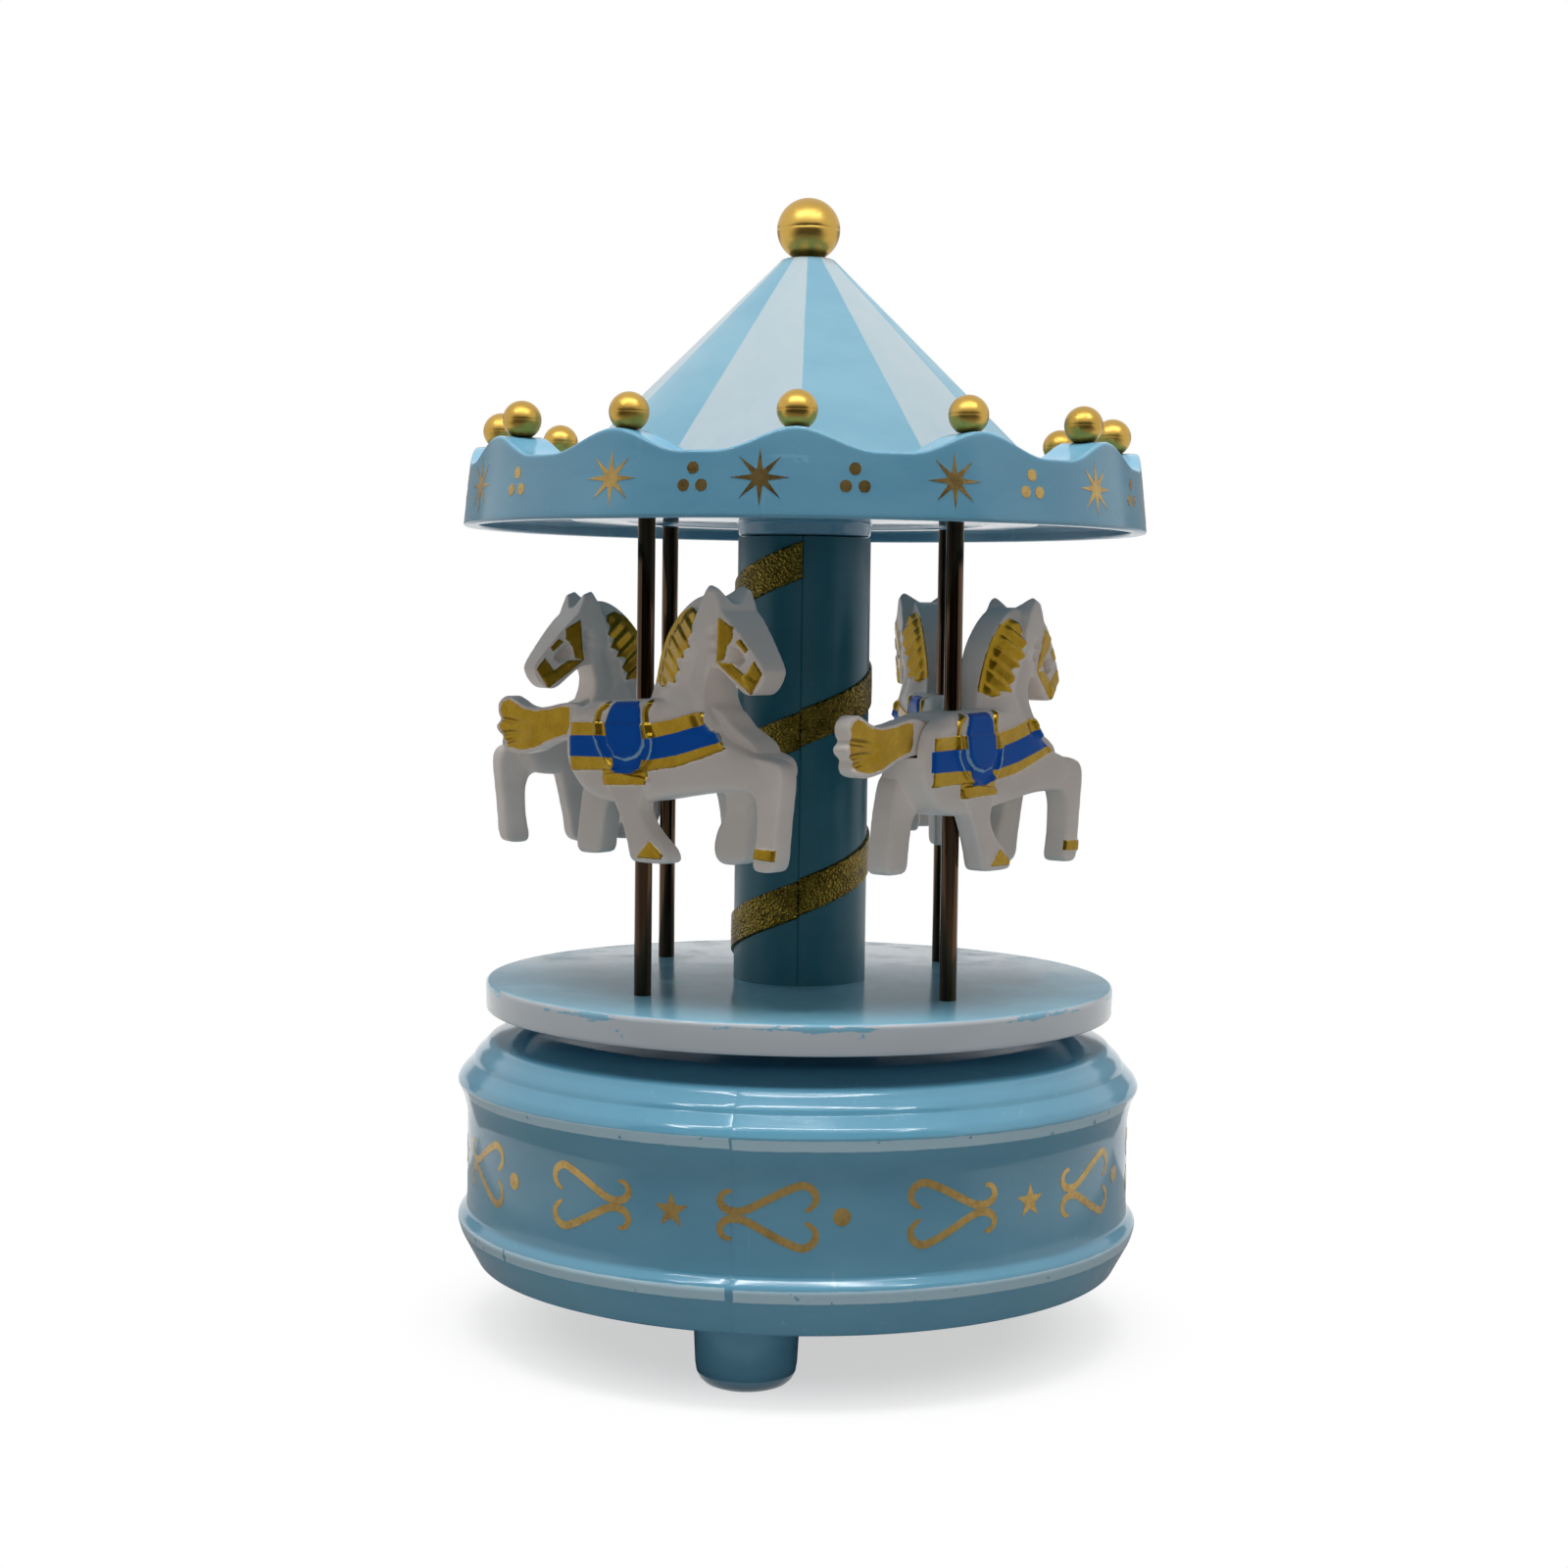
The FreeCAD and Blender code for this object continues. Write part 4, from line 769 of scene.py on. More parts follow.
low, top = drum_low.z, drum_high.z
drum_outline = rounded([
    (DRUM_EDGE_R, low, 0.3),
    (DRUM_LIP_R - 0.6, low + 4.7, 0.5),
    (DRUM_LIP_R - 0.05, low + 6.65, 0.8),
    (DRUM_BODY_R + 0.1, low + 8.0, 0.4),
    (DRUM_BODY_R, low + 10.0, 0.0),
    (DRUM_BODY_R, low + 22.4, 1.2),
    (DRUM_BODY_R + 0.65, low + 24.9, 1.0),
    (DRUM_LIP_R, low + 26.55, 0.45),
    (DRUM_LIP_R - 0.65, low + 27.7, 0.4),
    (DRUM_BODY_R - 0.75, low + 29.4, 0.12),
    (DRUM_BODY_R - 1.05, low + 30.05, 0.3),
    (DRUM_BODY_R - 1.6, low + 30.7, 0.4),
    (DRUM_BODY_R - 2.4, low + 31.45, 0.5),
    (DRUM_BODY_R - 3.0, low + 32.2, 0.4),
    (DRUM_BODY_R - 4.3, low + 32.8, 0.5),
    (DRUM_DECK_R - 3.0, top - 0.55, 0.8),
    (DRUM_DECK_R - 5.0, top, 0.9),
    (BUSH_HOLE_R, top, 0.0),
    (BUSH_HOLE_R, top - DECK_THICKNESS, 0.0),
    (DRUM_DECK_R - DECK_THICKNESS, top - DECK_THICKNESS, 0.6),
    (DRUM_INNER_R, top - 7.0, 0.6),
    (DRUM_INNER_R, low, 0.2),
])
drum = turned("drum", drum_outline, PARTING_ANGLES[0])
pick(drum)
cut_parting_line(drum, PARTING_ANGLES, PARTING_DEPTH)
print("drum with its parting lines:", len(drum.data.polygons), "faces")


# %% Drum finish with its painted rings
def ring_inside(tree, height, low_edge, high_edge):
    """How far a height is inside a painted ring, in millimetres."""
    above = maths(tree, "SUBTRACT", height, low_edge)
    under = maths(tree, "SUBTRACT", high_edge, height)
    return maths(tree, "MINIMUM", above, under)


def turn_about_axis(tree, x, y):
    """Angle about the centre axis in degrees."""
    return maths(tree, "DEGREES", maths(tree, "ARCTAN2", y, x))


UPPER_RING = (35.15, 36.7)
LOWER_RING = (15.1, 16.85)
UPPER_GAP, LOWER_GAP = 0.18, 0.55
RING_STEP = 0.16


def make_drum_finish():
    """Blue plastic with a white ring on each lip."""
    material, tree, shader = new_finish("drum_blue_and_white")
    x, y, z = axes(tree)
    turn = turn_about_axis(tree, x, y)
    from_seam = maths(tree, "SUBTRACT", turn, PARTING_ANGLES[0])
    arc = maths(tree, "SINE", maths(tree, "RADIANS", from_seam))
    right_half = maths(tree, "GREATER_THAN", arc, 0.0)
    shifted = maths(tree, "MULTIPLY_ADD", right_half, RING_STEP, z)
    beside_seam = maths(tree, "MULTIPLY", maths(tree, "ABSOLUTE", arc), DRUM_LIP_R)
    upper = ring_inside(tree, shifted, *UPPER_RING)
    upper = maths(tree, "MINIMUM", upper, maths(tree, "SUBTRACT", beside_seam, UPPER_GAP))
    lower = ring_inside(tree, shifted, *LOWER_RING)
    lower = maths(tree, "MINIMUM", lower, maths(tree, "SUBTRACT", beside_seam, LOWER_GAP))
    inside = maths(tree, "MAXIMUM", upper, lower)
    paint = place_group(tree, edge, inside=inside, wobble=0.1, scale=500.0, softness=0.06)["Mask"]
    chips = ease(tree, noise(tree, coordinates(tree), 420.0, 4.0), 0.66, 0.70)
    paint = maths(tree, "MULTIPLY", paint, maths(tree, "SUBTRACT", 1.0, chips))
    # The drum's tints are a little darker than the other blue: painted shade of the light falling off
    # towards the bottom.
    plastic = blue_base(tree, shader, 0.09, 0.06, tones=(SHADED_DRUM_BLUE_DEEP, SHADED_DRUM_BLUE), wave=0.22)
    feed(tree, shader["Base Color"], blend(tree, paint, plastic, RING_WHITE))
    return material


drum_finish = make_drum_finish()
hand_over(drum, "drum", "base", [drum_finish], ["base_shell"], 28.0)

# %% [markdown]
# ## The feet
# Three round feet, moulded with a soft lower edge, are glued under the cover. They are turned shapes like
# the drum, so the lathe helper makes each one about the centre axis, and then it is moved to its place.

# %% Feet
cover_under = reach("bottom_cover")[0].z
for i in (1, 2, 3):
    foot_low, foot_high = reach("foot_%d" % i)
    centre = (foot_low + foot_high) / 2
    foot_r = (foot_high.x - foot_low.x) / 2
    foot_outline = rounded([
        (0.0, foot_low.z + 0.25, 0.0),
        (foot_r - 4.0, foot_low.z + 0.05, 0.3),
        (foot_r - 0.5, foot_low.z, 3.2),
        (foot_r, cover_under, 0.0),
        (0.0, cover_under, 0.0),
    ])
    foot = turned("foot", foot_outline, steps=64)
    edit_all(foot)
    bpy.ops.mesh.dissolve_degenerate(threshold=0.001)
    bpy.ops.mesh.delete_loose()
    leave()
    foot.data.transform(Matrix.Translation((centre.x, centre.y, 0)))
    hand_over(foot, "round_foot_%d" % i, "base", [blue_plastic], ["foot_%d" % i])

# %% [markdown]
# ## The turntable
# A flat tray turns just above the deck. Its top is bare blue plastic, and its edge was dipped in thin
# white paint, which has chipped in long flakes under the upper corner. The paint could be a piece of its
# own, but its flakes have ragged edges that suit a noise in the material better.

# %% Turntable shape and finish
table_low, table_high = reach("platform")
ROD_HOLE_R = 1.6
TURNTABLE_R = table_high.x
TURNTABLE_TOP = reach("column_half_left")[0].z
TRAY_WALL, TRAY_THICKNESS, TRAY_BOSS_R = 2.2, 2.0, 12.0
turntable_outline = rounded([
    (ROD_HOLE_R, TURNTABLE_TOP, 0.0),
    (TURNTABLE_R - 0.25, TURNTABLE_TOP, 0.35),
    (TURNTABLE_R, TURNTABLE_TOP - 0.5, 0.25),
    (TURNTABLE_R - 0.1, table_low.z, 0.45),
    (TURNTABLE_R - TRAY_WALL, table_low.z, 0.3),
    (TURNTABLE_R - TRAY_WALL, TURNTABLE_TOP - TRAY_THICKNESS, 0.5),
    (TRAY_BOSS_R, TURNTABLE_TOP - TRAY_THICKNESS, 0.5),
    (TRAY_BOSS_R, table_low.z, 0.3),
    (ROD_HOLE_R, table_low.z, 0.0),
])
turntable = turned("turntable", turntable_outline)


def from_axis(tree, x, y):
    """Distance from the centre axis in millimetres."""
    squares = maths(tree, "ADD", maths(tree, "MULTIPLY", x, x), maths(tree, "MULTIPLY", y, y))
    return maths(tree, "SQRT", squares)


def make_turntable_finish():
    """Blue top, and an edge in thin white paint with flakes missing."""
    material, tree, shader = new_finish("turntable_blue_and_white")
    x, y, z = axes(tree)
    below_top = maths(tree, "SUBTRACT", TURNTABLE_TOP - 0.12, z)
    near_edge = maths(tree, "SUBTRACT", from_axis(tree, x, y), TURNTABLE_R - 1.3)
    inside = maths(tree, "MINIMUM", below_top, near_edge)
    paint = place_group(tree, edge, inside=inside, wobble=0.12, scale=300.0, softness=0.06)["Mask"]
    long_flakes = noise(tree, stretched(tree, (60.0, 60.0, 200.0)), 1.0, 6.0, 0.7)
    depth = maths(tree, "SUBTRACT", TURNTABLE_TOP - 0.55, z)
    reach_down = maths(tree, "MULTIPLY", maths(tree, "SUBTRACT", long_flakes, 0.485), 6.2)
    from_middle = maths(tree, "ABSOLUTE", maths(tree, "SUBTRACT", depth, 0.15))
    flake = ease(tree, maths(tree, "SUBTRACT", reach_down, from_middle), -0.03, 0.05)
    pits = ease(tree, noise(tree, coordinates(tree), 480.0, 3.0), 0.73, 0.76)
    gone = maths(tree, "MAXIMUM", flake, pits)
    paint = maths(tree, "MULTIPLY", paint, maths(tree, "SUBTRACT", 1.0, gone))
    plastic = blue_base(tree, shader, 0.13, tones=(TRAY_BLUE_DEEP, TRAY_BLUE))
    feed(tree, shader["Base Color"], blend(tree, paint, plastic, THIN_WHITE))
    return material


turntable_finish = make_turntable_finish()
hand_over(turntable, "turntable", "carousel", [turntable_finish], ["platform"])

# %% [markdown]
# ## The column
# The centre column is moulded in two halves with a raised spiral band. A flat grid whose rows follow the
# spiral is bent round the half cylinder, so the band's edges are clean steps in the mesh, and a bisect
# trims the slanted ends level. The band keeps a second material, the hammered gold, which is darker in
# part as painted shade of the canopy, as is the column's teal.

# %% Sizes of the column and its band
column_low, column_high = reach("column_half_right")
COLUMN_R = column_high.x
COLUMN_BOTTOM, COLUMN_TOP = column_low.z, column_high.z
COLUMN_WALL = 1.6
SPIRAL_PITCH = 24.5
SPIRAL_FIRST = 64.1
BAND_HALF = 2.75
BAND_RISE = 0.42
BAND_SLOPE = 0.3
SEAM_ANGLE = -90.0
SEAM_CHAMFER = 0.16
SEAM_TURN = 0.9
COLUMN_COLUMNS = 64
ROW_STEP = 1.5
BAND_PROFILE = [
    (BAND_HALF + 0.25, 0.0), (BAND_HALF, 0.0), (BAND_HALF - 0.12, 0.7), (BAND_HALF - BAND_SLOPE, 1.0),
    (1.2, 1.05),
]
print("column", round(COLUMN_TOP - COLUMN_BOTTOM, 1), "mm tall, radius", round(COLUMN_R, 2), "mm")


# %% Column halves
def column_half(name, side, bands, slip):
    """Half of the column: side 1 is the right half and -1 the left, and slip lowers its band a little."""
    first = COLUMN_BOTTOM - SPIRAL_PITCH / 2 - 2.0 if side > 0 else COLUMN_BOTTOM - 2.0
    last = COLUMN_TOP + 2.0 if side > 0 else COLUMN_TOP + SPIRAL_PITCH / 2 + 2.0
    levels = np.arange(first, last, ROW_STEP).tolist()
    centres = [SPIRAL_FIRST + SPIRAL_PITCH * k - slip for k in bands]
    rows = [(z, 0.0) for z in levels if all(abs(z - c) > BAND_HALF + 0.6 for c in centres)]
    for c in centres:
        rows.append((c, 1.1 * BAND_RISE))
        for offset, share in BAND_PROFILE:
            rows += [(c - offset, share * BAND_RISE), (c + offset, share * BAND_RISE)]
    rows.sort()
    turns = [180.0 * k / COLUMN_COLUMNS for k in range(COLUMN_COLUMNS + 1)]
    turns = turns[:1] + [SEAM_TURN] + turns[1:-1] + [180.0 - SEAM_TURN] + turns[-1:]
    pick_nothing()
    bpy.ops.mesh.primitive_grid_add(x_subdivisions=len(turns) - 1, y_subdivisions=len(rows) - 1, size=1)
    half = bpy.context.object
    for v in half.data.vertices:
        turn = side * turns[v.index % len(turns)]
        level, rise = rows[v.index // len(turns)]
        seam = SEAM_CHAMFER if abs(turn) in (0.0, 180.0) else 0.0
        v.co = polar(COLUMN_R + rise - seam, SEAM_ANGLE + turn, level + SPIRAL_PITCH * turn / 360.0)
    edit_all(half)
    bpy.ops.mesh.bisect(plane_co=(0, 0, COLUMN_BOTTOM), plane_no=(0, 0, 1), clear_inner=True)
    bpy.ops.mesh.select_all(action="SELECT")
    bpy.ops.mesh.bisect(plane_co=(0, 0, COLUMN_TOP - 0.15), plane_no=(0, 0, 1), clear_outer=True)
    close_up(0.001)
    leave()
    face_outwards(half)
    apply_modifier(half, "SOLIDIFY", thickness=COLUMN_WALL, offset=-1.0)
    gold_faces = 0
    for face in half.data.polygons:
        turn = (angle_of(face.center) - SEAM_ANGLE) % 360.0
        turn = turn if side > 0 else turn - 360.0
        level = face.center.z - SPIRAL_PITCH * turn / 360.0
        outside = Vector((face.center.x, face.center.y)).length > COLUMN_R - 0.2
        if outside and any(abs(level - c) < BAND_HALF for c in centres):
            face.material_index = 1
            gold_faces += 1
    print(name, "gold faces", gold_faces)
    return half


for name, side, bands, slip in (("right", 1, (-1, 0, 1), 0.0), ("left", -1, (0, 1, 2), 0.3)):
    half = column_half("column_" + name, side, bands, slip)
    finishes = [shaded_column_plastic, shaded_hammered_foil]
    nodes = ["column_half_" + name]
    hand_over(half, "column_" + name, "carousel", finishes, nodes, 30.0)

# %% [markdown]
# ## The poles
# Plain drawn tubes, so each is a cylinder. The rings of edges at its two ends are bevelled, because a cut
# end that is pushed through plastic has its sharp edge taken off first.

# %% Poles
POLE_BEVEL = 0.15
for i in (1, 2, 3, 4):
    pole_low, pole_high = reach("pole_%d" % i)
    centre = (pole_low + pole_high) / 2
    pole_r = (pole_high.x - pole_low.x) / 2
    pick_nothing()
    bpy.ops.mesh.primitive_cylinder_add(
        vertices=40, radius=pole_r, depth=pole_high.z - pole_low.z, location=centre, end_fill_type="NGON",
    )
    pole = bpy.context.object
    bpy.ops.object.transform_apply(location=True, rotation=True, scale=True)
    edit(pole)
    bpy.ops.mesh.select_mode(type="EDGE")
    leave()
    for e in pole.data.edges:
        a, b = (pole.data.vertices[k].co for k in e.vertices)
        e.select = abs(a.z - b.z) < 0.01
    bpy.ops.object.mode_set(mode="EDIT")
    bpy.ops.mesh.bevel(offset=POLE_BEVEL, segments=2, affect="EDGES")
    bpy.ops.mesh.select_mode(type="VERT")
    leave()
    hand_over(pole, "brass_pole_%d" % i, "carousel", [antique_brass], ["pole_%d" % i])

# %% [markdown]
# ## The canopy's ceiling
# The ceiling closes the canopy from below. It has a collar that sits on the column, a shallow step and,
# near its edge, the pockets for the clips of the rim. A boolean could cut the pockets, but faces that are
# pushed up into the plate keep the rings of the lathe shape clean.

# %% Ceiling
ceiling_high = reach("ceiling_disc")[1]
CEILING_R = ceiling_high.x
CEILING_UNDER = COLUMN_TOP + 2.1
STEP_INNER_R, STEP_OUTER_R, STEP_RUN = 26.0, 34.0, 0.6
POCKET_ANGLES = (66.0, 138.0, 210.0, 282.0, 354.0)
POCKET_HALF_TURN = 8.5
POCKET_INNER_R, POCKET_OUTER_R = CEILING_R - 4.0, CEILING_R - 1.6
POCKET_DEPTH = 1.2
ceiling_outline = rounded([
    (ROD_HOLE_R, COLUMN_TOP, 0.0),
    (COLUMN_R - 0.1, COLUMN_TOP, 0.55),
    (COLUMN_R + 0.15, CEILING_UNDER, 0.5),
    (STEP_INNER_R, CEILING_UNDER + 0.15, 0.2),
    (STEP_INNER_R + STEP_RUN, CEILING_UNDER - 0.15, 0.2),
    (STEP_OUTER_R, CEILING_UNDER - 0.15, 0.2),
    (STEP_OUTER_R + STEP_RUN, CEILING_UNDER + 0.1, 0.2),
    (POCKET_INNER_R, CEILING_UNDER, 0.0),
    (POCKET_OUTER_R, CEILING_UNDER, 0.0),
    (CEILING_R, CEILING_UNDER, 0.0),
    (CEILING_R, ceiling_high.z, 0.2),
    (ROD_HOLE_R, ceiling_high.z, 0.0),
])
ceiling = turned("ceiling", ceiling_outline)


def in_pocket(p):
    """Whether a point of the ceiling belongs to a clip pocket."""
    radius = Vector((p.x, p.y)).length
    on_ring = POCKET_INNER_R - 0.1 < radius < POCKET_OUTER_R + 0.1
    underneath = p.z < CEILING_UNDER + 0.3
    return on_ring and underneath and any(apart(angle_of(p), a) < POCKET_HALF_TURN for a in POCKET_ANGLES)


select_points(ceiling, in_pocket)
bpy.ops.object.mode_set(mode="EDIT")
bpy.ops.mesh.select_mode(type="FACE")
bpy.ops.mesh.extrude_region_move(TRANSFORM_OT_translate={"value": (0, 0, POCKET_DEPTH)})
bpy.ops.mesh.select_mode(type="VERT")
leave()
hand_over(ceiling, "ceiling_plate", "carousel", [ceiling_plastic], ["ceiling_disc"])

# %% [markdown]
# ## The scalloped rim
# The valance stands round the ceiling and rises to a crest under each ball. A lathe outline gives the
# ring with soft edges. Then every point of its upper part is lowered by the wave at its own angle, so
# the rounded top edge follows the scallops.

# %% Rim
rim_low, rim_high = reach("canopy_rim")
RIM_TAPER = 1.25
RIM_WIDTH = 6.95
RIM_ROWS = 12
RIM_PLAIN = 1.5
RIM_LOW_R = rim_high.x
RIM_TOP_R = RIM_LOW_R - RIM_TAPER
RIM_INNER_R = RIM_TOP_R - RIM_WIDTH
RIM_FLOOR_R, RIM_FLOOR_THICKNESS = 34.5, 1.8
RIM_FLOOR = reach("roof_cone")[0].z
SCALLOPS = 12
SCALLOP_DEPTH = 3.1
SCALLOP_SLOPE_END = 0.82
FIRST_CREST = -90.0


def scallop_drop(angle):
    """How far the rim's top lies under its crests, with a smooth slope down to flat valleys."""
    period = 360.0 / SCALLOPS
    along = abs((angle - FIRST_CREST + period / 2) % period - period / 2) / (period / 2)
    t = min(along / SCALLOP_SLOPE_END, 1.0)
    return SCALLOP_DEPTH * t * t * (3 - 2 * t)


floor, crest, foot_z = RIM_FLOOR, rim_high.z, rim_low.z
under = floor - RIM_FLOOR_THICKNESS
outer_rows = []
for k in range(1, RIM_ROWS):
    row_radius = RIM_LOW_R - RIM_TAPER * k / RIM_ROWS
    outer_rows.append((row_radius, foot_z + (crest - foot_z) * k / RIM_ROWS, 0.0))
rim_outline = rounded(
    [(CEILING_R, foot_z + 0.2, 0.15), (CEILING_R + 0.25, foot_z, 0.2), (RIM_LOW_R, foot_z, 0.45)]
    + outer_rows
    + [
        (RIM_TOP_R, crest, 0.55), (RIM_TOP_R - 2.2, crest, 0.0), (RIM_INNER_R + 2.2, crest, 0.0),
        (RIM_INNER_R, crest, 0.6), (RIM_INNER_R, floor + 0.2, 0.2), (RIM_INNER_R - 4.0, floor, 0.0),
        (RIM_FLOOR_R, floor, 0.0), (RIM_FLOOR_R, under, 0.0), (CEILING_R, under, 0.0),
    ]
)
rim = turned("rim", rim_outline)
for v in rim.data.vertices:
    share = min(max((v.co.z - foot_z - RIM_PLAIN) / (crest - foot_z - RIM_PLAIN), 0.0), 1.0)
    radius = Vector((v.co.x, v.co.y)).length
    inner_wall = radius < RIM_INNER_R + 0.05
    if inner_wall:
        share = max(0.0, (v.co.z - floor) / (crest - floor))
    drop = scallop_drop(angle_of(v.co)) * share
    if radius > RIM_INNER_R + 3.0:
        widen = 1.0 + RIM_TAPER * drop / (crest - foot_z) / radius
        v.co.x *= widen
        v.co.y *= widen
    if inner_wall:
        drop = min(drop, max(0.0, v.co.z - floor - 0.3))
    v.co.z -= drop
hand_over(rim, "scalloped_rim", "carousel", [blue_plastic], ["canopy_rim"], 40.0)

# %% [markdown]
# ## The striped roof
# A smooth cone with twelve stripes. The stripes are pale paint laid over the blue with a straight but
# not quite sharp edge. Cutting the cone into stripes would make their edges too hard, so they are a mask
# of the angle about the centre axis.

# %% Roof
roof_low, roof_high = reach("roof_cone")
ROOF_BASE_R = roof_high.x
ROOF_TOP_R = 3.7
ROOF_CAP = 1.6
roof_outline = rounded([
    (ROD_HOLE_R, roof_high.z, 0.0),
    (ROOF_TOP_R, roof_high.z, 0.5),
    (ROOF_BASE_R, roof_low.z + 0.25, 0.3),
    (ROOF_BASE_R - 0.1, roof_low.z, 0.0),
    (ROOF_BASE_R - 2.3, roof_low.z, 0.0),
    (ROOF_TOP_R - 0.6, roof_high.z - ROOF_CAP, 0.0),
    (ROD_HOLE_R, roof_high.z - ROOF_CAP, 0.0),
])
roof = turned("roof", roof_outline)
PALE_STRIPE = colour(180, 194, 200)
ROOF_BLUE = colour(134, 178, 196)
ROOF_BLUE_DEEP = colour(122, 168, 189)


def make_roof_finish():
    """Alternate stripes of blue and pale paint, each thirty degrees wide."""
    material, tree, shader = new_finish("striped_roof")
    x, y = axes(tree)[:2]
    turn = turn_about_axis(tree, x, y)
    wave = maths(tree, "SINE", maths(tree, "RADIANS", maths(tree, "MULTIPLY", turn, SCALLOPS / 2)))
    inside = maths(tree, "MULTIPLY", wave, maths(tree, "DIVIDE", from_axis(tree, x, y), SCALLOPS / 2))
    paint = place_group(tree, edge, inside=inside, wobble=0.12, scale=160.0, softness=0.1)["Mask"]
    surface = place_group(tree, skin, shine=0.3, smudge=0.12)
    shader["Specular IOR Level"].default_value = 0.2
    feed(tree, shader["Roughness"], surface["Roughness"])
    raise_surface(tree, shader, surface["Height"], 0.012, 0.6)
    streaks = noise(tree, stretched(tree, (240.0, 240.0, 30.0)), 1.0, 4.0, 0.6)
    blue = blend(tree, surface["Tone"], ROOF_BLUE_DEEP, ROOF_BLUE)
    thin = maths(tree, "MULTIPLY_ADD", ease(tree, streaks, 0.3, 0.75), 0.16, 0.84)
    feed(tree, shader["Base Color"], blend(tree, maths(tree, "MULTIPLY", paint, thin), blue, PALE_STRIPE))
    return material


roof_finish = make_roof_finish()
hand_over(roof, "striped_roof", "carousel", [roof_finish], ["roof_cone"], 30.0)

# %% [markdown]
# ## Gold balls and the finial
# Each ball was moulded in two halves, so it has a fine line round its equator. One ball is made from a
# sphere whose equator is bevelled and pushed in, and it is copied to every crest.

# %% A ball with its line
ball_high = reach("roof_balls")[1]
LINE_HALF_WIDTH, LINE_SHARE = 0.035, 0.994
BALL_CIRCLE_R = 44.8
BALL_R = ball_high.x - BALL_CIRCLE_R
FINIAL_R = reach("finial")[1].x


def ball_with_line(radius, cut_below):
    """A sphere about the origin with a moulded line round its equator, cut flat where it is seated."""
    pick_nothing()
    bpy.ops.mesh.primitive_uv_sphere_add(segments=64, ring_count=32, radius=radius)
    ball = bpy.context.object
    select_points(ball, lambda p: abs(p.z) < 0.001)
    bpy.ops.object.mode_set(mode="EDIT")
    bpy.ops.mesh.bevel(offset=LINE_HALF_WIDTH, segments=2, affect="EDGES")
    bpy.ops.mesh.select_all(action="SELECT")
    bpy.ops.mesh.bisect(plane_co=(0, 0, cut_below), plane_no=(0, 0, 1), clear_inner=True, use_fill=True)
    leave()
    for v in ball.data.vertices:
        if abs(v.co.z) < 0.005:
            v.co.x *= LINE_SHARE
            v.co.y *= LINE_SHARE
    return ball


# %% Balls and finial
def joined(pieces):
    """Join pieces into the first one."""
    pick(*pieces)
    bpy.ops.object.join()
    return pieces[0]


def copy_of(piece):
    """A copy with its own mesh."""
    twin = piece.copy()
    twin.data = piece.data.copy()
    bpy.context.scene.collection.objects.link(twin)
    return twin


ball_centre = ball_high.z - BALL_R
ball = ball_with_line(BALL_R, rim_high.z - ball_centre)
balls = []
for k in range(SCALLOPS):
    twin = copy_of(ball)
    place = polar(BALL_CIRCLE_R, FIRST_CREST + 360.0 * k / SCALLOPS, ball_centre)
    twin.data.transform(Matrix.Translation(place))
    balls.append(twin)
bpy.data.objects.remove(ball)
hand_over(joined(balls), "gold_balls", "carousel", [gold_lacquer], ["roof_balls"], 60.0)

finial_centre = reach("finial")[1].z - FINIAL_R
finial = ball_with_line(FINIAL_R, roof_high.z - finial_centre)
finial.data.transform(Matrix.Translation((0, 0, finial_centre)))
hand_over(finial, "gold_finial", "carousel", [gold_lacquer], ["finial"], 60.0)

# %% [markdown]
# ## Stamped ornament
# The gold stars, dots and scrolls are foil pressed on the plastic. They could be masks in the material,
# but real pieces catch the light at their edges. Each motif is drawn flat, cut into small faces, and then
# wrapped round the drum or the sloping rim a hair above the surface. A solidify gives it the foil's
# thickness, so that it is a closed piece.

# %% Flat stars and dots
FOIL_LIFT = 0.03
FOIL_THICKNESS = 0.06


def flat_shape(points):
    """A flat motif from its outline, cut into small faces that can bend."""
    pick_nothing()
    bpy.ops.mesh.primitive_circle_add(vertices=len(points), fill_type="TRIFAN")
    motif = bpy.context.object
    centre = [v for v in motif.data.vertices if v.co.length < 0.01][0]
    corners = [v for v in motif.data.vertices if v.index != centre.index]
    for corner, (x, y) in zip(corners, points):
        corner.co = (x, y, 0)
    centre.co = (0, 0, 0)
    edit_all(motif)
    bpy.ops.mesh.subdivide(number_cuts=3)
    leave()
    return motif


def star_points(tips, outer, inner, first=90.0):
    """Outline of a star."""
    points = []
    for k in range(2 * tips):
        radius = outer if k % 2 == 0 else inner
        turn = math.radians(first + 180.0 * k / tips)
        points.append((radius * math.cos(turn), radius * math.sin(turn)))
    return points


def dot_points(radius, count=24):
    """Outline of a dot."""
    turns = [math.tau * k / count for k in range(count)]
    return [(radius * math.cos(t), radius * math.sin(t)) for t in turns]


# %% Smooth lines and brush strokes
def smooth_line(points, steps, closed=False):
    """A smooth curve through points, a few steps from each to the next."""
    given = np.array(points, float)
    count = len(given)
    line = []
    for i in range(count if closed else count - 1):
        here, there = given[i], given[(i + 1) % count]
        before = given[i - 1] if closed or i > 0 else 2 * here - there
        after = given[(i + 2) % count] if closed or i + 2 < count else 2 * there - here
        for k in range(steps):
            t = k / steps
            bend = (2 * before - 5 * here + 4 * there - after) * t ** 2
            twist = (3 * here - before - 3 * there + after) * t ** 3
            line.append(0.5 * (2 * here + (there - before) * t + bend + twist))
    if not closed:
        line.append(given[-1])
    return np.array(line)


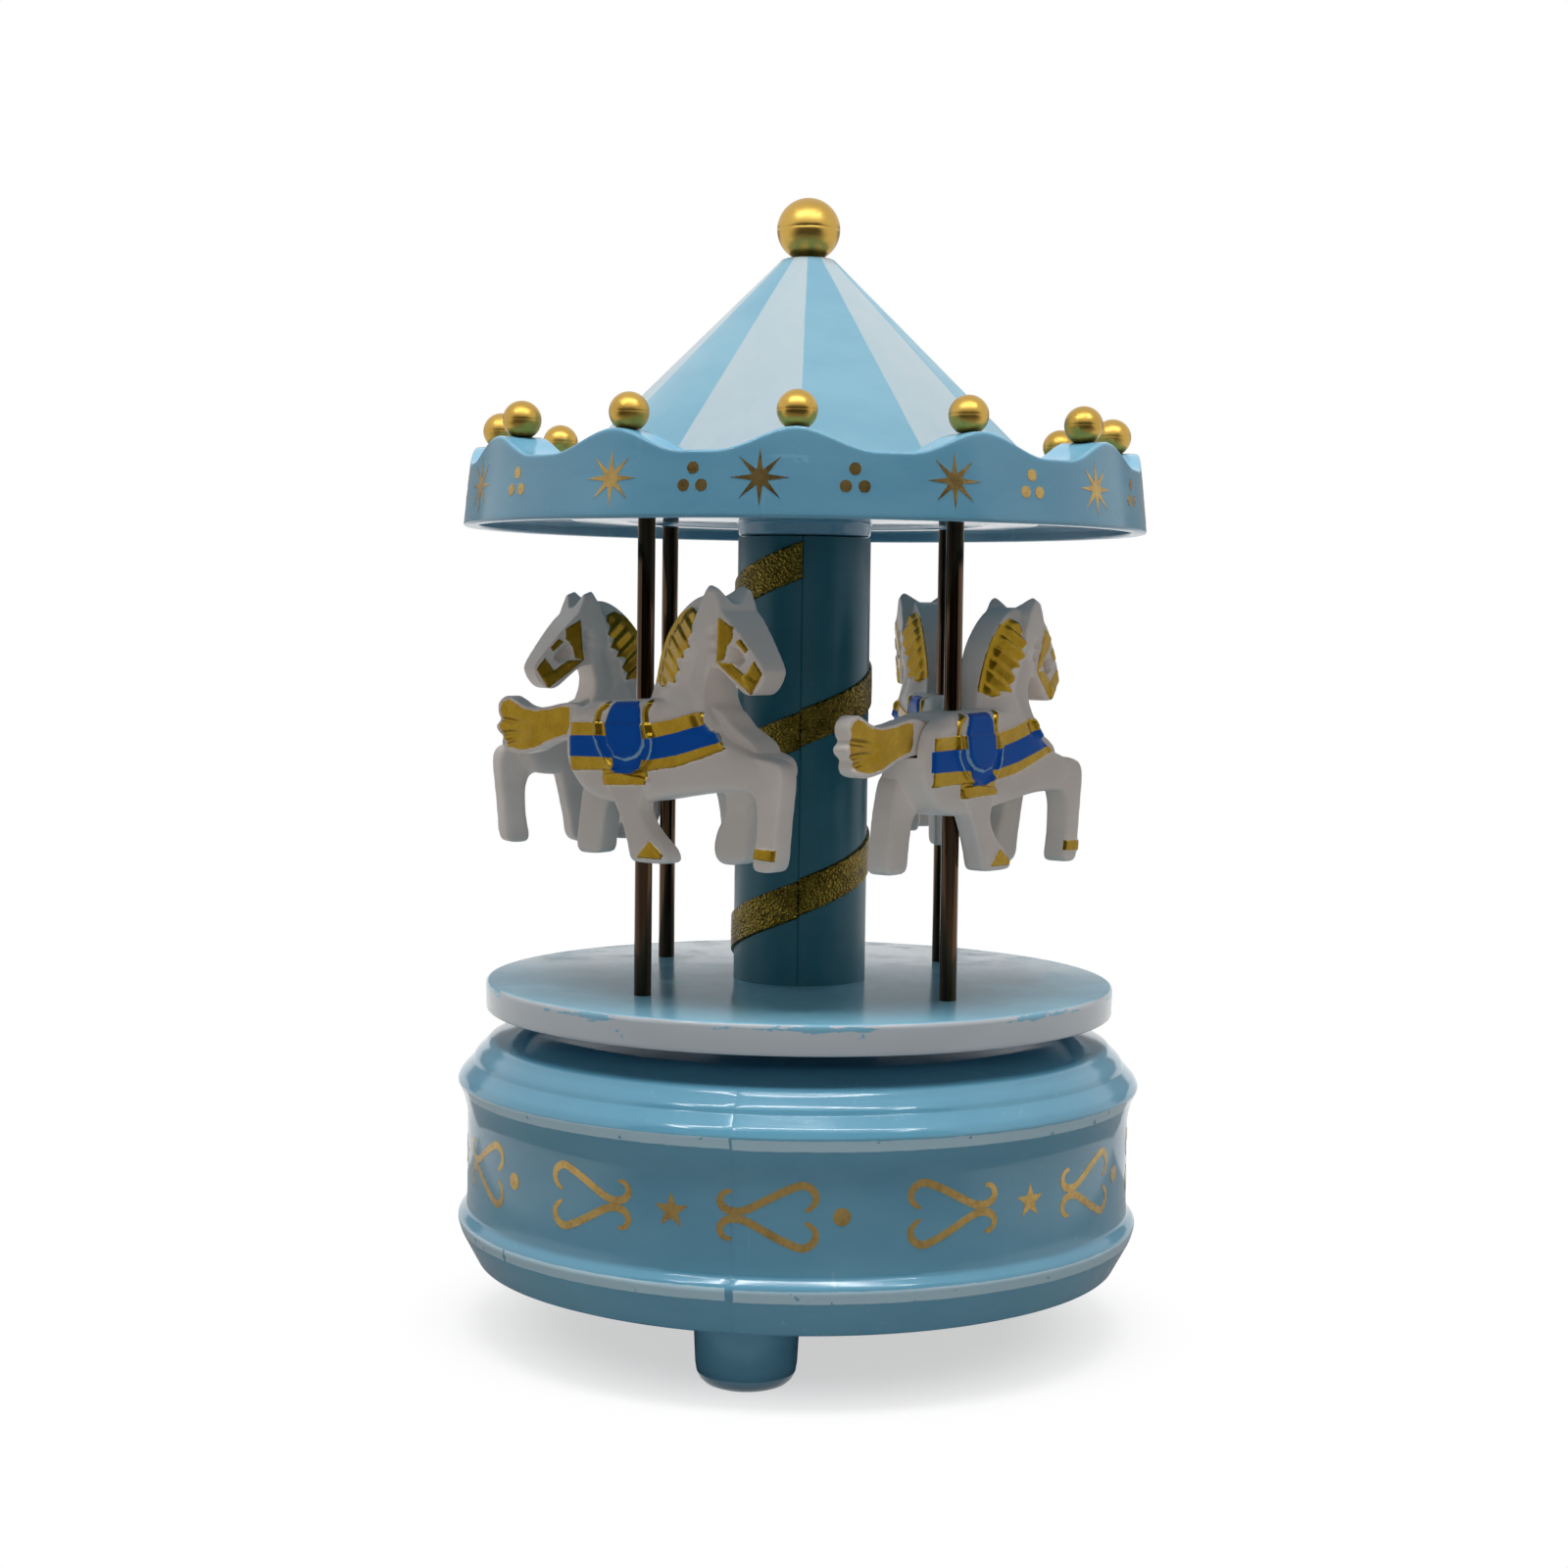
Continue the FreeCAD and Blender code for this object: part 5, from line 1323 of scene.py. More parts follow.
def brush_stroke(points, width, steps=8):
    """A flat stroke along a smooth curve that thins towards both ends."""
    line = smooth_line(points, steps)
    ahead = np.gradient(line, axis=0)
    ahead /= np.linalg.norm(ahead, axis=1)[:, None]
    across = np.stack([-ahead[:, 1], ahead[:, 0]], 1)
    along = np.linspace(0.0, 1.0, len(line))
    half = width / 2 * np.clip(0.35 + 1.5 * np.minimum(along, 1 - along) ** 0.6, 0.35, 1.0)
    pick_nothing()
    bpy.ops.mesh.primitive_grid_add(x_subdivisions=len(line) - 1, y_subdivisions=2, size=1)
    stroke = bpy.context.object
    for v in stroke.data.vertices:
        i, side = v.index % len(line), v.index // len(line) - 1
        x, y = line[i] + across[i] * half[i] * side
        v.co = (x, y, 0)
    return stroke


# %% Wrapping the motifs
def wrapped(motif, angle, height, radius_at):
    """Wrap a flat motif round the centre axis at an angle and a height, and give it its thickness."""
    for v in motif.data.vertices:
        z = height + v.co.y
        radius = radius_at(z) + FOIL_LIFT
        v.co = polar(radius, angle + math.degrees(v.co.x / radius), z)
    edit_all(motif)
    bpy.ops.mesh.normals_make_consistent(inside=False)
    leave()
    face_outwards(motif)
    apply_modifier(motif, "SOLIDIFY", thickness=FOIL_THICKNESS, offset=-1.0)
    return motif


def rim_radius(z):
    """Radius of the rim's sloping face at a height."""
    return RIM_LOW_R - RIM_TAPER * (z - rim_low.z) / (rim_high.z - rim_low.z)


FACE_LOW, FACE_HIGH = drum_low.z + 8, drum_low.z + 26.8
DRUM_FACE = [(z, r) for r, z in drum_outline if r > DRUM_INNER_R + 1.0 and FACE_LOW < z < FACE_HIGH]


def drum_radius(z):
    """Radius of the drum between its lips, where its wall flares towards them."""
    heights, radii = zip(*sorted(DRUM_FACE))
    return float(np.interp(z, heights, radii))


# %% Stars and dots round the rim
FRONT = -90.0 + CAMERA_AZIMUTH
RIM_ORNAMENT_Z = 122.3
RIM_STAR = star_points(8, 3.8, 1.05)
CLUSTER_DOT_R = 0.8
CLUSTER = ((0.0, 1.25), (-1.2, -1.0), (1.2, -1.0))
RIM_REPEAT = 30.0
RIM_FIRST_STAR = -6.85
RIM_STAR_COUNT = 12
RIM_JOIN_GAP = 24.3
CLUSTER_AFTER, JOIN_CLUSTER_SHIFT = 14.3, 1.8

rim_stars, rim_dots = [], []
for k in range(RIM_STAR_COUNT):
    turn = FRONT + RIM_FIRST_STAR + RIM_REPEAT * k
    beside = turn + CLUSTER_AFTER
    if k == RIM_STAR_COUNT - 1:
        turn = FRONT + RIM_FIRST_STAR - RIM_JOIN_GAP
        beside = turn + RIM_JOIN_GAP / 2 + JOIN_CLUSTER_SHIFT
    rim_stars.append(wrapped(flat_shape(RIM_STAR), turn, RIM_ORNAMENT_Z, rim_radius))
    for across, up in CLUSTER:
        dot = flat_shape(dot_points(CLUSTER_DOT_R))
        dot_turn = beside + math.degrees(across / RIM_TOP_R)
        rim_dots.append(wrapped(dot, dot_turn, RIM_ORNAMENT_Z + up, rim_radius))
hand_over(joined(rim_stars), "rim_stars", "carousel", [gold_foil])
hand_over(joined(rim_dots), "rim_dots", "carousel", [gold_foil])

# %% Scroll hearts, stars and dots round the drum
DRUM_ORNAMENT_Z = 26.3
DRUM_REPEAT = 60.0
DRUM_FIRST_DOT = 7.1
HEART_AFTER, STAR_AFTER, SECOND_HEART_AFTER = 18.3, 33.2, 48.6
DRUM_DOT = dot_points(1.2)
DRUM_STAR = star_points(5, 2.5, 1.0)
SCROLL_WIDTH = 1.05
SCROLL = [
    (-4.9, 0.72), (-5.7, 1.3), (-6.25, 2.1), (-6.1, 3.2), (-5.25, 3.95), (-4.1, 4.1), (-1.65, 3.1),
    (1.2, 1.6), (2.6, 0.88), (3.6, 0.55), (4.6, 0.5), (5.6, 0.75), (6.3, 1.5), (6.25, 2.4), (5.6, 3.05),
    (4.8, 3.15),
]

scrolls, drum_stars, drum_dots = [], [], []
for k in range(round(360.0 / DRUM_REPEAT)):
    first = FRONT + DRUM_FIRST_DOT + DRUM_REPEAT * k
    drum_dots.append(wrapped(flat_shape(DRUM_DOT), first, DRUM_ORNAMENT_Z, drum_radius))
    drum_stars.append(wrapped(flat_shape(DRUM_STAR), first + STAR_AFTER, DRUM_ORNAMENT_Z, drum_radius))
    for after, mirror in ((HEART_AFTER, 1), (SECOND_HEART_AFTER, -1)):
        for flip in (1, -1):
            stroke = brush_stroke([(mirror * x, flip * y) for x, y in SCROLL], SCROLL_WIDTH)
            scrolls.append(wrapped(stroke, first + after, DRUM_ORNAMENT_Z, drum_radius))
hand_over(joined(drum_dots), "drum_dots", "base", [gold_foil])
hand_over(joined(drum_stars), "drum_stars", "base", [gold_foil])
hand_over(joined(scrolls), "drum_scrolls", "base", [gold_foil])

# %% [markdown]
# ## The horses
# A horse is a solid little moulding: plump body, boxy head with two ears, straight legs. Box modelling
# would need many careful loops, so each part is drawn from the side instead, pushed across to its
# thickness, remeshed and smoothed until it is as round as the real one. The parts are then joined and
# remeshed into one skin, and a boolean cuts the slot for the tail.

# %% Horse outlines: distance ahead of the pole, height above the hooves
TORSO = [
    (-7.0, 21.5), (-2.0, 21.9), (4.0, 22.2), (9.0, 22.3), (13.6, 20.6), (17.4, 17.2), (21.6, 15.6),
    (24.0, 14.8), (24.6, 12.8), (23.4, 11.0), (21.5, 10.6), (16.0, 10.4), (8.7, 9.4), (2.0, 8.3),
    (-3.6, 8.0), (-7.8, 9.2), (-10.8, 12.4), (-11.6, 16.0), (-10.4, 19.8),
]
NECK = [
    (1.6, 20.0), (2.9, 22.6), (3.6, 25.0), (4.6, 28.6), (6.2, 31.9), (8.8, 34.8), (11.4, 36.4),
    (13.4, 36.4), (15.0, 34.0), (15.4, 31.0), (14.6, 27.4), (13.8, 24.6), (14.4, 21.4), (16.4, 18.6),
    (13.0, 16.5), (6.0, 17.0),
]
HEAD = [
    (12.2, 33.2), (13.8, 35.6), (16.4, 35.0), (19.0, 32.5), (21.3, 29.6), (23.0, 27.2), (23.3, 26.0),
    (22.5, 24.4), (21.2, 23.4), (19.7, 23.6), (17.7, 25.4), (15.9, 26.8), (13.8, 27.2), (12.4, 29.8),
]
EARS = [(13.0, 35.2), (14.2, 37.2), (14.9, 38.4), (15.6, 38.3), (16.1, 36.8), (16.8, 34.4), (14.6, 34.0)]
BREAST = [
    (10.0, 22.0), (14.6, 21.6), (16.6, 20.6), (18.2, 19.0), (20.2, 17.9), (21.9, 16.7), (22.8, 15.0),
    (22.4, 12.5), (20.0, 11.0), (12.0, 11.0),
]
LEGS = {
    "outer_front": [
        (19.5, 13.6), (22.5, 15.0), (25.2, 14.8), (26.9, 14.2), (27.6, 13.0), (27.6, 11.0), (27.1, 6.5),
        (26.7, 2.0), (26.4, 0.6), (25.8, 0.0), (23.6, 0.0), (23.0, 0.6), (23.1, 1.5), (23.5, 3.7),
        (23.7, 6.5), (23.6, 8.4), (22.6, 10.4), (19.0, 11.0),
    ],
    "inner_front": [
        (14.0, 12.2), (14.2, 7.4), (12.7, 4.2), (12.3, 1.8), (13.0, 0.4), (14.6, 0.0), (17.0, 0.4),
        (17.8, 1.8), (18.0, 3.6), (18.8, 7.2), (19.4, 12.2),
    ],
    "outer_hind": [
        (-3.6, 11.8), (-2.2, 9.2), (-0.9, 7.0), (0.2, 4.6), (1.0, 2.4), (1.5, 0.6), (2.4, 0.0),
        (7.6, 0.0), (8.3, 0.7), (7.6, 1.9), (5.4, 3.7), (3.9, 5.4), (3.1, 7.2), (3.6, 9.2), (4.8, 11.4),
    ],
    "inner_hind": [
        (-10.6, 13.5), (-12.4, 9.4), (-13.2, 4.6), (-13.6, 1.0), (-13.0, 0.1), (-12.0, 0.0), (-9.8, 0.1),
        (-9.0, 0.9), (-8.6, 4.2), (-7.4, 7.8), (-3.0, 10.5), (-5.0, 14.0),
    ],
}
CREST = [(2.9, 22.6), (3.6, 25.0), (4.6, 28.6), (6.2, 31.9), (8.8, 34.8), (11.4, 36.4), (13.0, 36.6)]
TORSO_HALF, BREAST_HALF, NECK_HALF, HEAD_HALF = 4.0, 2.4, 3.3, 3.95
LEG_SIDES = {
    "outer_front": (-3.9, -0.4),
    "inner_front": (0.7, 4.2),
    "outer_hind": (-4.6, -1.4),
    "inner_hind": (0.7, 4.2),
}
COARSE_VOXEL, FINE_VOXEL = 0.3, 0.2


# %% Helpers that move a mesh's points by their place
def read_points(piece):
    """A mesh's points and their normals as arrays."""
    count = len(piece.data.vertices)
    points, normals = np.zeros(count * 3), np.zeros(count * 3)
    piece.data.vertices.foreach_get("co", points)
    piece.data.vertices.foreach_get("normal", normals)
    return points.reshape(-1, 3), normals.reshape(-1, 3)


def write_points(piece, points):
    """Put an array of points back into a mesh."""
    piece.data.vertices.foreach_set("co", points.reshape(-1))
    piece.data.update()


def store(piece, name, values):
    """Keep one number for each point of a mesh."""
    layer = piece.data.attributes.new(name, "FLOAT", "POINT")
    layer.data.foreach_set("value", np.ascontiguousarray(values, np.float32))


def soft(value):
    """A smooth step from 0 to 1."""
    t = np.clip(value, 0.0, 1.0)
    return t * t * (3 - 2 * t)


# %% Helpers that measure from outlines and lines
def to_segments(points, corners, closed):
    """Distance from points to a broken line, and for a closed one whether each point is inside."""
    corners = np.array(corners, float)
    ends = np.roll(corners, -1, 0) if closed else corners[1:]
    starts = corners if closed else corners[:-1]
    nearest = np.full(len(points), 1e9)
    inside = np.zeros(len(points), bool)
    for a, b in zip(starts, ends):
        run = b - a
        t = np.clip(((points - a) @ run) / (run @ run), 0.0, 1.0)
        nearest = np.minimum(nearest, np.linalg.norm(points - (a + t[:, None] * run), axis=1))
        if closed:
            crosses = (a[1] > points[:, 1]) != (b[1] > points[:, 1])
            climb = b[1] - a[1] if b[1] != a[1] else 1e-9
            inside ^= crosses & (points[:, 0] < run[0] * (points[:, 1] - a[1]) / climb + a[0])
    return nearest, inside


def depth_inside(points, outline):
    """How far points lie inside an outline, negative outside it."""
    nearest, inside = to_segments(points, outline, True)
    return np.where(inside, nearest, -nearest)


def rise(depth, width):
    """A soft step from 0 outside an outline to 1 inside it."""
    return soft(depth / width + 0.5)


def from_line(points, line):
    """Distance to a smooth line through a few places."""
    return to_segments(points, smooth_line(line, 6), False)[0]


def bead(points, line, width):
    """1 along a line, fading to 0 at its width."""
    return np.exp(-((from_line(points, line) / width) ** 2))


def spot(points, place, size):
    """1 at a place, fading to 0."""
    away = np.linalg.norm(points - np.array(place), axis=1)
    return np.exp(-((away / size) ** 2))


# %% A smooth part from a drawn outline
def remeshed(piece, voxel, smoothing, fatten=0.0):
    """One even skin over a piece, smoothed and then grown back to its size."""
    pick(piece)
    piece.data.remesh_voxel_size = voxel
    bpy.ops.object.voxel_remesh()
    if smoothing:
        apply_modifier(piece, "SMOOTH", factor=0.5, iterations=smoothing)
    if fatten:
        edit_all(piece)
        bpy.ops.transform.shrink_fatten(value=fatten)
        leave()
    return piece


def slab(outline, low_side, high_side, steps=4):
    """A smooth closed outline, pushed across from one side to the other."""
    line = smooth_line(outline, steps, closed=True)
    pick_nothing()
    bpy.ops.mesh.primitive_circle_add(vertices=len(line), fill_type="NGON")
    piece = bpy.context.object
    for corner, (ahead, height) in zip(piece.data.vertices, line):
        corner.co = (ahead, low_side, height)
    edit_all(piece)
    bpy.ops.mesh.extrude_region_move(TRANSFORM_OT_translate={"value": (0, high_side - low_side, 0)})
    bpy.ops.mesh.select_all(action="SELECT")
    bpy.ops.mesh.normals_make_consistent(inside=False)
    leave()
    return piece


# %% Shape of the neck and the head
CREST_SHARE, CREST_SLOPE = 0.56, 5.5
BODY_FLARE, HEAD_FLARE = 0.25, 0.15
POLL, HEAD_AXIS, HEAD_LENGTH = (15.0, 36.0), (0.563, -0.826), 13.3
TAPER_FROM, MUZZLE_SHARE = 0.25, 0.58
NOTCH_PLACE, NOTCH_FALL, NOTCH_FLAT, NOTCH_RISE = (13.2, 36.9), 0.40, 0.8, 0.80
EARS_ABOVE, EAR_ROUND_FROM, EAR_ROUND = 34.0, 2.9, 1.2


def narrow_to_crest(neck):
    """Slope the neck's sides inwards to a narrow crest, and widen it towards the body and the head."""
    points = read_points(neck)[0]
    away = to_segments(points[:, (0, 2)], CREST, False)[0]
    points[:, 1] *= CREST_SHARE + (1.0 - CREST_SHARE) * soft(away / CREST_SLOPE)
    to_body = soft((26.0 - points[:, 2]) / 6.0)
    to_head = soft((points[:, 2] - 24.0) / 8.0)
    points[:, 1] *= 1.0 + BODY_FLARE * to_body + HEAD_FLARE * to_head
    write_points(neck, points)
    return neck


def shape_head(head):
    """Narrow the head to its muzzle, and press in the notch between the ears."""
    points = read_points(head)[0]
    ahead, up = points[:, 0] - POLL[0], points[:, 2] - POLL[1]
    along = (ahead * HEAD_AXIS[0] + up * HEAD_AXIS[1]) / HEAD_LENGTH
    taper = np.clip((along - TAPER_FROM) / (1.0 - TAPER_FROM), 0.0, 1.0)
    points[:, 1] *= 1.0 - (1.0 - MUZZLE_SHARE) * taper
    bottom = NOTCH_PLACE[1] - NOTCH_FALL * (points[:, 0] - NOTCH_PLACE[0])
    notch = bottom + NOTCH_RISE * np.maximum(np.abs(points[:, 1]) - NOTCH_FLAT, 0.0)
    notch -= EAR_ROUND * np.maximum(np.abs(points[:, 1]) - EAR_ROUND_FROM, 0.0) ** 2
    high = points[:, 2] > EARS_ABOVE
    points[:, 2] = np.where(high, np.minimum(points[:, 2], notch), points[:, 2])
    write_points(head, points)
    return head


# %% Horse body
TAIL_POCKET = [(-8.8, 16.6), (-8.8, 20.8), (-11.6, 21.7), (-15.0, 21.6), (-15.0, 15.6), (-12.9, 15.95)]
POCKET_SIDES = (-2.6, 0.4)


def horse_body():
    """Body, neck, head, ears and legs in one skin."""
    head = joined([slab(HEAD, -HEAD_HALF, HEAD_HALF), slab(EARS, -HEAD_HALF, HEAD_HALF)])
    parts = [
        remeshed(slab(TORSO, -TORSO_HALF, TORSO_HALF), COARSE_VOXEL, 90, 0.26),
        remeshed(slab(BREAST, -BREAST_HALF, BREAST_HALF), COARSE_VOXEL, 25, 0.15),
        narrow_to_crest(remeshed(slab(NECK, -NECK_HALF, NECK_HALF), COARSE_VOXEL, 12, 0.06)),
        shape_head(remeshed(head, COARSE_VOXEL, 4, 0.04)),
    ]
    for name, outline in LEGS.items():
        parts.append(remeshed(slab(outline, *LEG_SIDES[name]), COARSE_VOXEL, 14, 0.14))
    body = remeshed(joined(parts), FINE_VOXEL, 5)
    pocket = slab(TAIL_POCKET, *POCKET_SIDES)
    apply_modifier(body, "BOOLEAN", object=pocket, operation="DIFFERENCE", solver="EXACT")
    bpy.data.objects.remove(pocket)
    return body


horse = horse_body()
print("horse skin", len(horse.data.polygons), "faces")

# %% [markdown]
# ## Saddle, straps and mane
# On the real horse these are low reliefs of the same moulding, with gold and blue printed over them.
# Sculpting could raise them, but a script can't repeat a brush by hand. Here each shape is an outline on
# the horse's side, and the points of the skin inside it are moved outwards with a soft step at its border.
# How far each point lies inside the gold and the blue is kept as an attribute, so that the shader can draw
# a sharp edge between points.

# %% Printed and raised shapes on the horse's side
SADDLE = [
    (-1.9, 21.9), (2.6, 22.1), (3.3, 20.8), (3.8, 17.2), (3.8, 16.0), (2.7, 14.5), (0.8, 14.0),
    (-1.2, 14.4), (-2.7, 16.0), (-3.2, 19.1), (-2.7, 20.4),
]
SADDLE_FOOT = [(-1.9, 14.6), (3.0, 14.8), (3.7, 12.9), (1.6, 12.0), (-1.5, 12.0)]
SADDLE_LINE = [
    (-5.1, 16.9), (-4.5, 15.4), (-3.0, 13.5), (-1.4, 12.5), (0.9, 12.1), (3.5, 12.9), (5.1, 14.6),
    (5.5, 16.5), (5.3, 17.3),
]
BLUE_BAND = [
    (-10.5, 16.9), (-4.8, 17.1), (4.5, 16.9), (9.8, 18.0), (15.1, 19.4), (17.6, 17.0), (9.8, 14.9),
    (4.6, 14.0), (-4.7, 14.1), (-10.5, 14.0),
]
GOLD_BAND = [
    (-10.1, 18.8), (-6.3, 18.9), (4.6, 19.0), (8.8, 19.8), (13.1, 20.9), (14.6, 20.9), (14.9, 19.7),
    (18.6, 16.1), (14.5, 14.7), (9.8, 13.3), (4.6, 12.5), (-4.1, 12.3), (-10.2, 12.0),
]
GOLD_TAB = [(-4.0, 12.6), (-3.9, 10.2), (4.5, 10.6), (4.4, 12.9)]
CHEEK_STRAP = [
    (16.7, 33.8), (19.0, 32.4), (18.9, 30.9), (17.8, 29.7), (17.2, 28.0), (15.8, 27.6), (16.2, 30.2),
]
NOSE_BAND = [(15.8, 27.7), (17.5, 26.2), (21.2, 23.3), (22.2, 25.0), (20.5, 26.0), (18.3, 27.6)]
MUZZLE_BAND = [(22.0, 28.0), (23.2, 26.2), (21.2, 23.3), (20.1, 25.6)]
BROW = [(19.2, 30.4), (20.0, 30.9), (21.2, 29.5), (20.7, 28.9)]
EYE = [(17.8, 28.9), (18.3, 29.7), (19.5, 29.2), (20.2, 28.0), (19.4, 27.4), (18.4, 27.9)]
MANE = [
    (10.4, 35.2), (11.9, 34.5), (12.3, 32.1), (11.8, 29.6), (10.7, 28.1), (9.8, 27.8), (9.7, 25.8),
    (8.9, 24.5), (5.8, 24.0), (3.4, 24.9), (4.0, 27.4), (4.9, 29.6), (6.2, 32.0), (8.2, 34.2),
]
HIND_HOOF = [(5.3, 3.0), (7.9, 1.1), (7.6, 0.5), (2.9, 0.5)]
FRONT_HOOF = [(22.9, 3.0), (27.6, 2.9), (27.4, 1.3), (22.7, 1.6)]
FRONT_LOOP = [(4.6, 21.9), (4.1, 20.6), (4.3, 18.9), (4.8, 17.2)]
BACK_LOOP = [(-3.3, 21.5), (-4.4, 20.6), (-4.9, 19.1), (-4.7, 17.3)]
ROLL = [(-9.0, 19.4), (-7.4, 19.7), (-6.4, 19.9)]
STRAP_END = [(14.2, 20.4), (16.2, 18.5), (18.2, 16.4)]
DIMPLES = ((15.2, 31.5), (15.2, 29.7))
THROAT = [(12.2, 28.6), (11.4, 26.7), (11.0, 24.2), (12.5, 21.4), (13.7, 19.3)]
CHEST = [(15.4, 21.6), (19.6, 18.4), (21.9, 16.6), (24.6, 15.3)]
LOCK_SPACING, LOCK_LEAN = 2.3, 0.75
MANE_LIFT, LOCK_LIFT = 0.25, 0.3
DIMPLE_DEPTH, DIMPLE_SIZE = 0.65, 0.66
LOOP_HALF_WIDTH = 0.55

# %% How high each shape stands, and how wide its soft border is
RAISED_AREAS = [
    (GOLD_BAND, 0.28, 0.3), (GOLD_TAB, 0.15, 0.3), (SADDLE, 0.62, 0.7), (SADDLE_FOOT, 0.25, 0.4),
    (CHEEK_STRAP, 0.22, 0.3), (NOSE_BAND, 0.22, 0.3), (MUZZLE_BAND, 0.22, 0.3), (BROW, 0.22, 0.3),
    (EYE, -1.7, 0.6), (HIND_HOOF, 0.25, 0.4), (FRONT_HOOF, 0.25, 0.4),
]
RAISED_LINES = [
    (SADDLE_LINE, 0.42, 0.32), (FRONT_LOOP, 0.6, LOOP_HALF_WIDTH), (BACK_LOOP, 0.6, LOOP_HALF_WIDTH),
    (ROLL, 0.45, 1.0), (STRAP_END, 0.45, 0.4), (THROAT, -0.3, 0.8), (CHEST, 0.3, 0.8),
]
print("reliefs on the horse:", len(RAISED_AREAS) + len(RAISED_LINES) + len(DIMPLES), "and the mane")


# %% Relief of the horse's side
def mane_locks(flat):
    """Saw-toothed locks that run down and forwards across the mane."""
    phase = (flat[:, 1] + LOCK_LEAN * flat[:, 0]) / LOCK_SPACING
    share = phase - np.floor(phase)
    return np.where(share < 0.75, share / 0.75, (1.0 - share) / 0.25)


def off_crest(flat, start, width):
    """0 along the neck's crest, rising to 1 away from it."""
    return soft((to_segments(flat, CREST, False)[0] - start) / width)


def horse_relief(flat):
    """Height of the saddle, straps, mane and face over the plain side."""
    mane = rise(depth_inside(flat, MANE), 0.5) * off_crest(flat, 0.4, 1.4)
    height = mane * (MANE_LIFT + LOCK_LIFT * mane_locks(flat))
    for outline, lift, width in RAISED_AREAS:
        height += lift * rise(depth_inside(flat, outline), width)
    for line, lift, width in RAISED_LINES:
        height += lift * bead(flat, line, width)
    for place in DIMPLES:
        height -= DIMPLE_DEPTH * spot(flat, place, DIMPLE_SIZE)
    return height


# %% Raise the relief and store the printing
def finish_horse(piece):
    """Raise the relief and store how far each point is inside the gold and the blue."""
    points, normals = read_points(piece)
    flat = points[:, (0, 2)]
    facing = np.abs(normals[:, 1])
    on_side = np.clip(facing * 1.8 - 0.5, 0.0, 1.0) * (np.abs(points[:, 1]) > 0.8)
    points[:, 1] += np.sign(points[:, 1]) * horse_relief(flat) * on_side
    at_edge = (facing - 0.33) * 2.0
    gold = depth_inside(flat, GOLD_BAND)
    for outline in (GOLD_TAB, CHEEK_STRAP, NOSE_BAND, MUZZLE_BAND, BROW):
        gold = np.maximum(gold, depth_inside(flat, outline))
    teeth = 0.9 * (1.0 - mane_locks(flat)) * off_crest(flat, 2.0, 2.0)
    gold = np.maximum(gold, depth_inside(flat, MANE) - teeth)
    hooves = np.maximum(depth_inside(flat, HIND_HOOF), depth_inside(flat, FRONT_HOOF))
    gold = np.maximum(gold, np.minimum(hooves, -1.5 * normals[:, 1]))
    for loop in (FRONT_LOOP, BACK_LOOP):
        gold = np.maximum(gold, LOOP_HALF_WIDTH - from_line(flat, loop))
    gold = np.minimum(gold, at_edge)
    saddle = depth_inside(flat, SADDLE)
    band = depth_inside(flat, BLUE_BAND)
    blue = np.maximum(saddle, depth_inside(flat, SADDLE_FOOT))
    blue = np.maximum(np.minimum(blue, at_edge + 1.2), np.minimum(band, at_edge))
    # Pale lines on the blue along the saddle's raised edges.
    pale = np.minimum(0.17 - from_line(flat, SADDLE_LINE), band + 0.3)
    pale = np.maximum(pale, np.minimum(0.16 - np.abs(saddle + 0.1), 20.6 - flat[:, 1]))
    # A pale line along the strap's end: a painted highlight.
    pale = np.maximum(pale, 0.2 - from_line(flat, STRAP_END))
    write_points(piece, points)
    store(piece, "gold_inside", gold)
    store(piece, "blue_inside", blue)
    store(piece, "pale_line", pale)


finish_horse(horse)
print("relief and printing on", len(horse.data.vertices), "points")

# %% Horse finish
WARM_WHITE = colour(244, 235, 228)
WARM_SHADE = colour(236, 226, 218)
PRINT_GOLD = colour(162, 130, 36)
PRINT_GOLD_DEEP = colour(146, 114, 26)
PRINT_BLUE = colour(0, 92, 192)
PALE_BLUE = colour(150, 190, 215)


def printed(tree, name, wobble, scale=1500.0, softness=0.05):
    """Where a colour is printed, from the number stored on the mesh's points."""
    node = tree.nodes.new("ShaderNodeAttribute")
    node.attribute_name = name
    inside = node.outputs["Fac"]
    return place_group(tree, edge, inside=inside, wobble=wobble, scale=scale, softness=softness)["Mask"]


def make_horse_finish():
    """Warm white plastic with gold and blue printing."""
    material, tree, shader = new_finish("horse_white_printed")
    surface = place_group(tree, skin, shine=0.36, smudge=0.1)
    white = blend(tree, surface["Tone"], WARM_SHADE, WARM_WHITE)
    gold = printed(tree, "gold_inside", 0.12)
    blue = printed(tree, "blue_inside", 0.07)
    # Pale lines on the blue; the one at the strap's end is a painted highlight.
    pale_lines_and_highlight = printed(tree, "pale_line", 0.12, 1400.0, 0.08)
    metal = place_group(tree, foil, shine=0.18)
    gold_tone = blend(tree, metal["Tone"], PRINT_GOLD_DEEP, PRINT_GOLD)
    blue_tone = blend(tree, pale_lines_and_highlight, PRINT_BLUE, PALE_BLUE)
    feed(tree, shader["Base Color"], blend(tree, blue, blend(tree, gold, white, gold_tone), blue_tone))
    only_gold = maths(tree, "MULTIPLY", gold, maths(tree, "SUBTRACT", 1.0, blue))
    feed(tree, shader["Metallic"], maths(tree, "MULTIPLY", only_gold, 0.65))
    smoother = maths(tree, "SUBTRACT", metal["Roughness"], surface["Roughness"])
    feed(tree, shader["Roughness"], maths(tree, "MULTIPLY_ADD", smoother, only_gold, surface["Roughness"]))
    shader["Specular IOR Level"].default_value = 0.09
    raise_surface(tree, shader, surface["Height"], 0.012, 0.6)
    return material


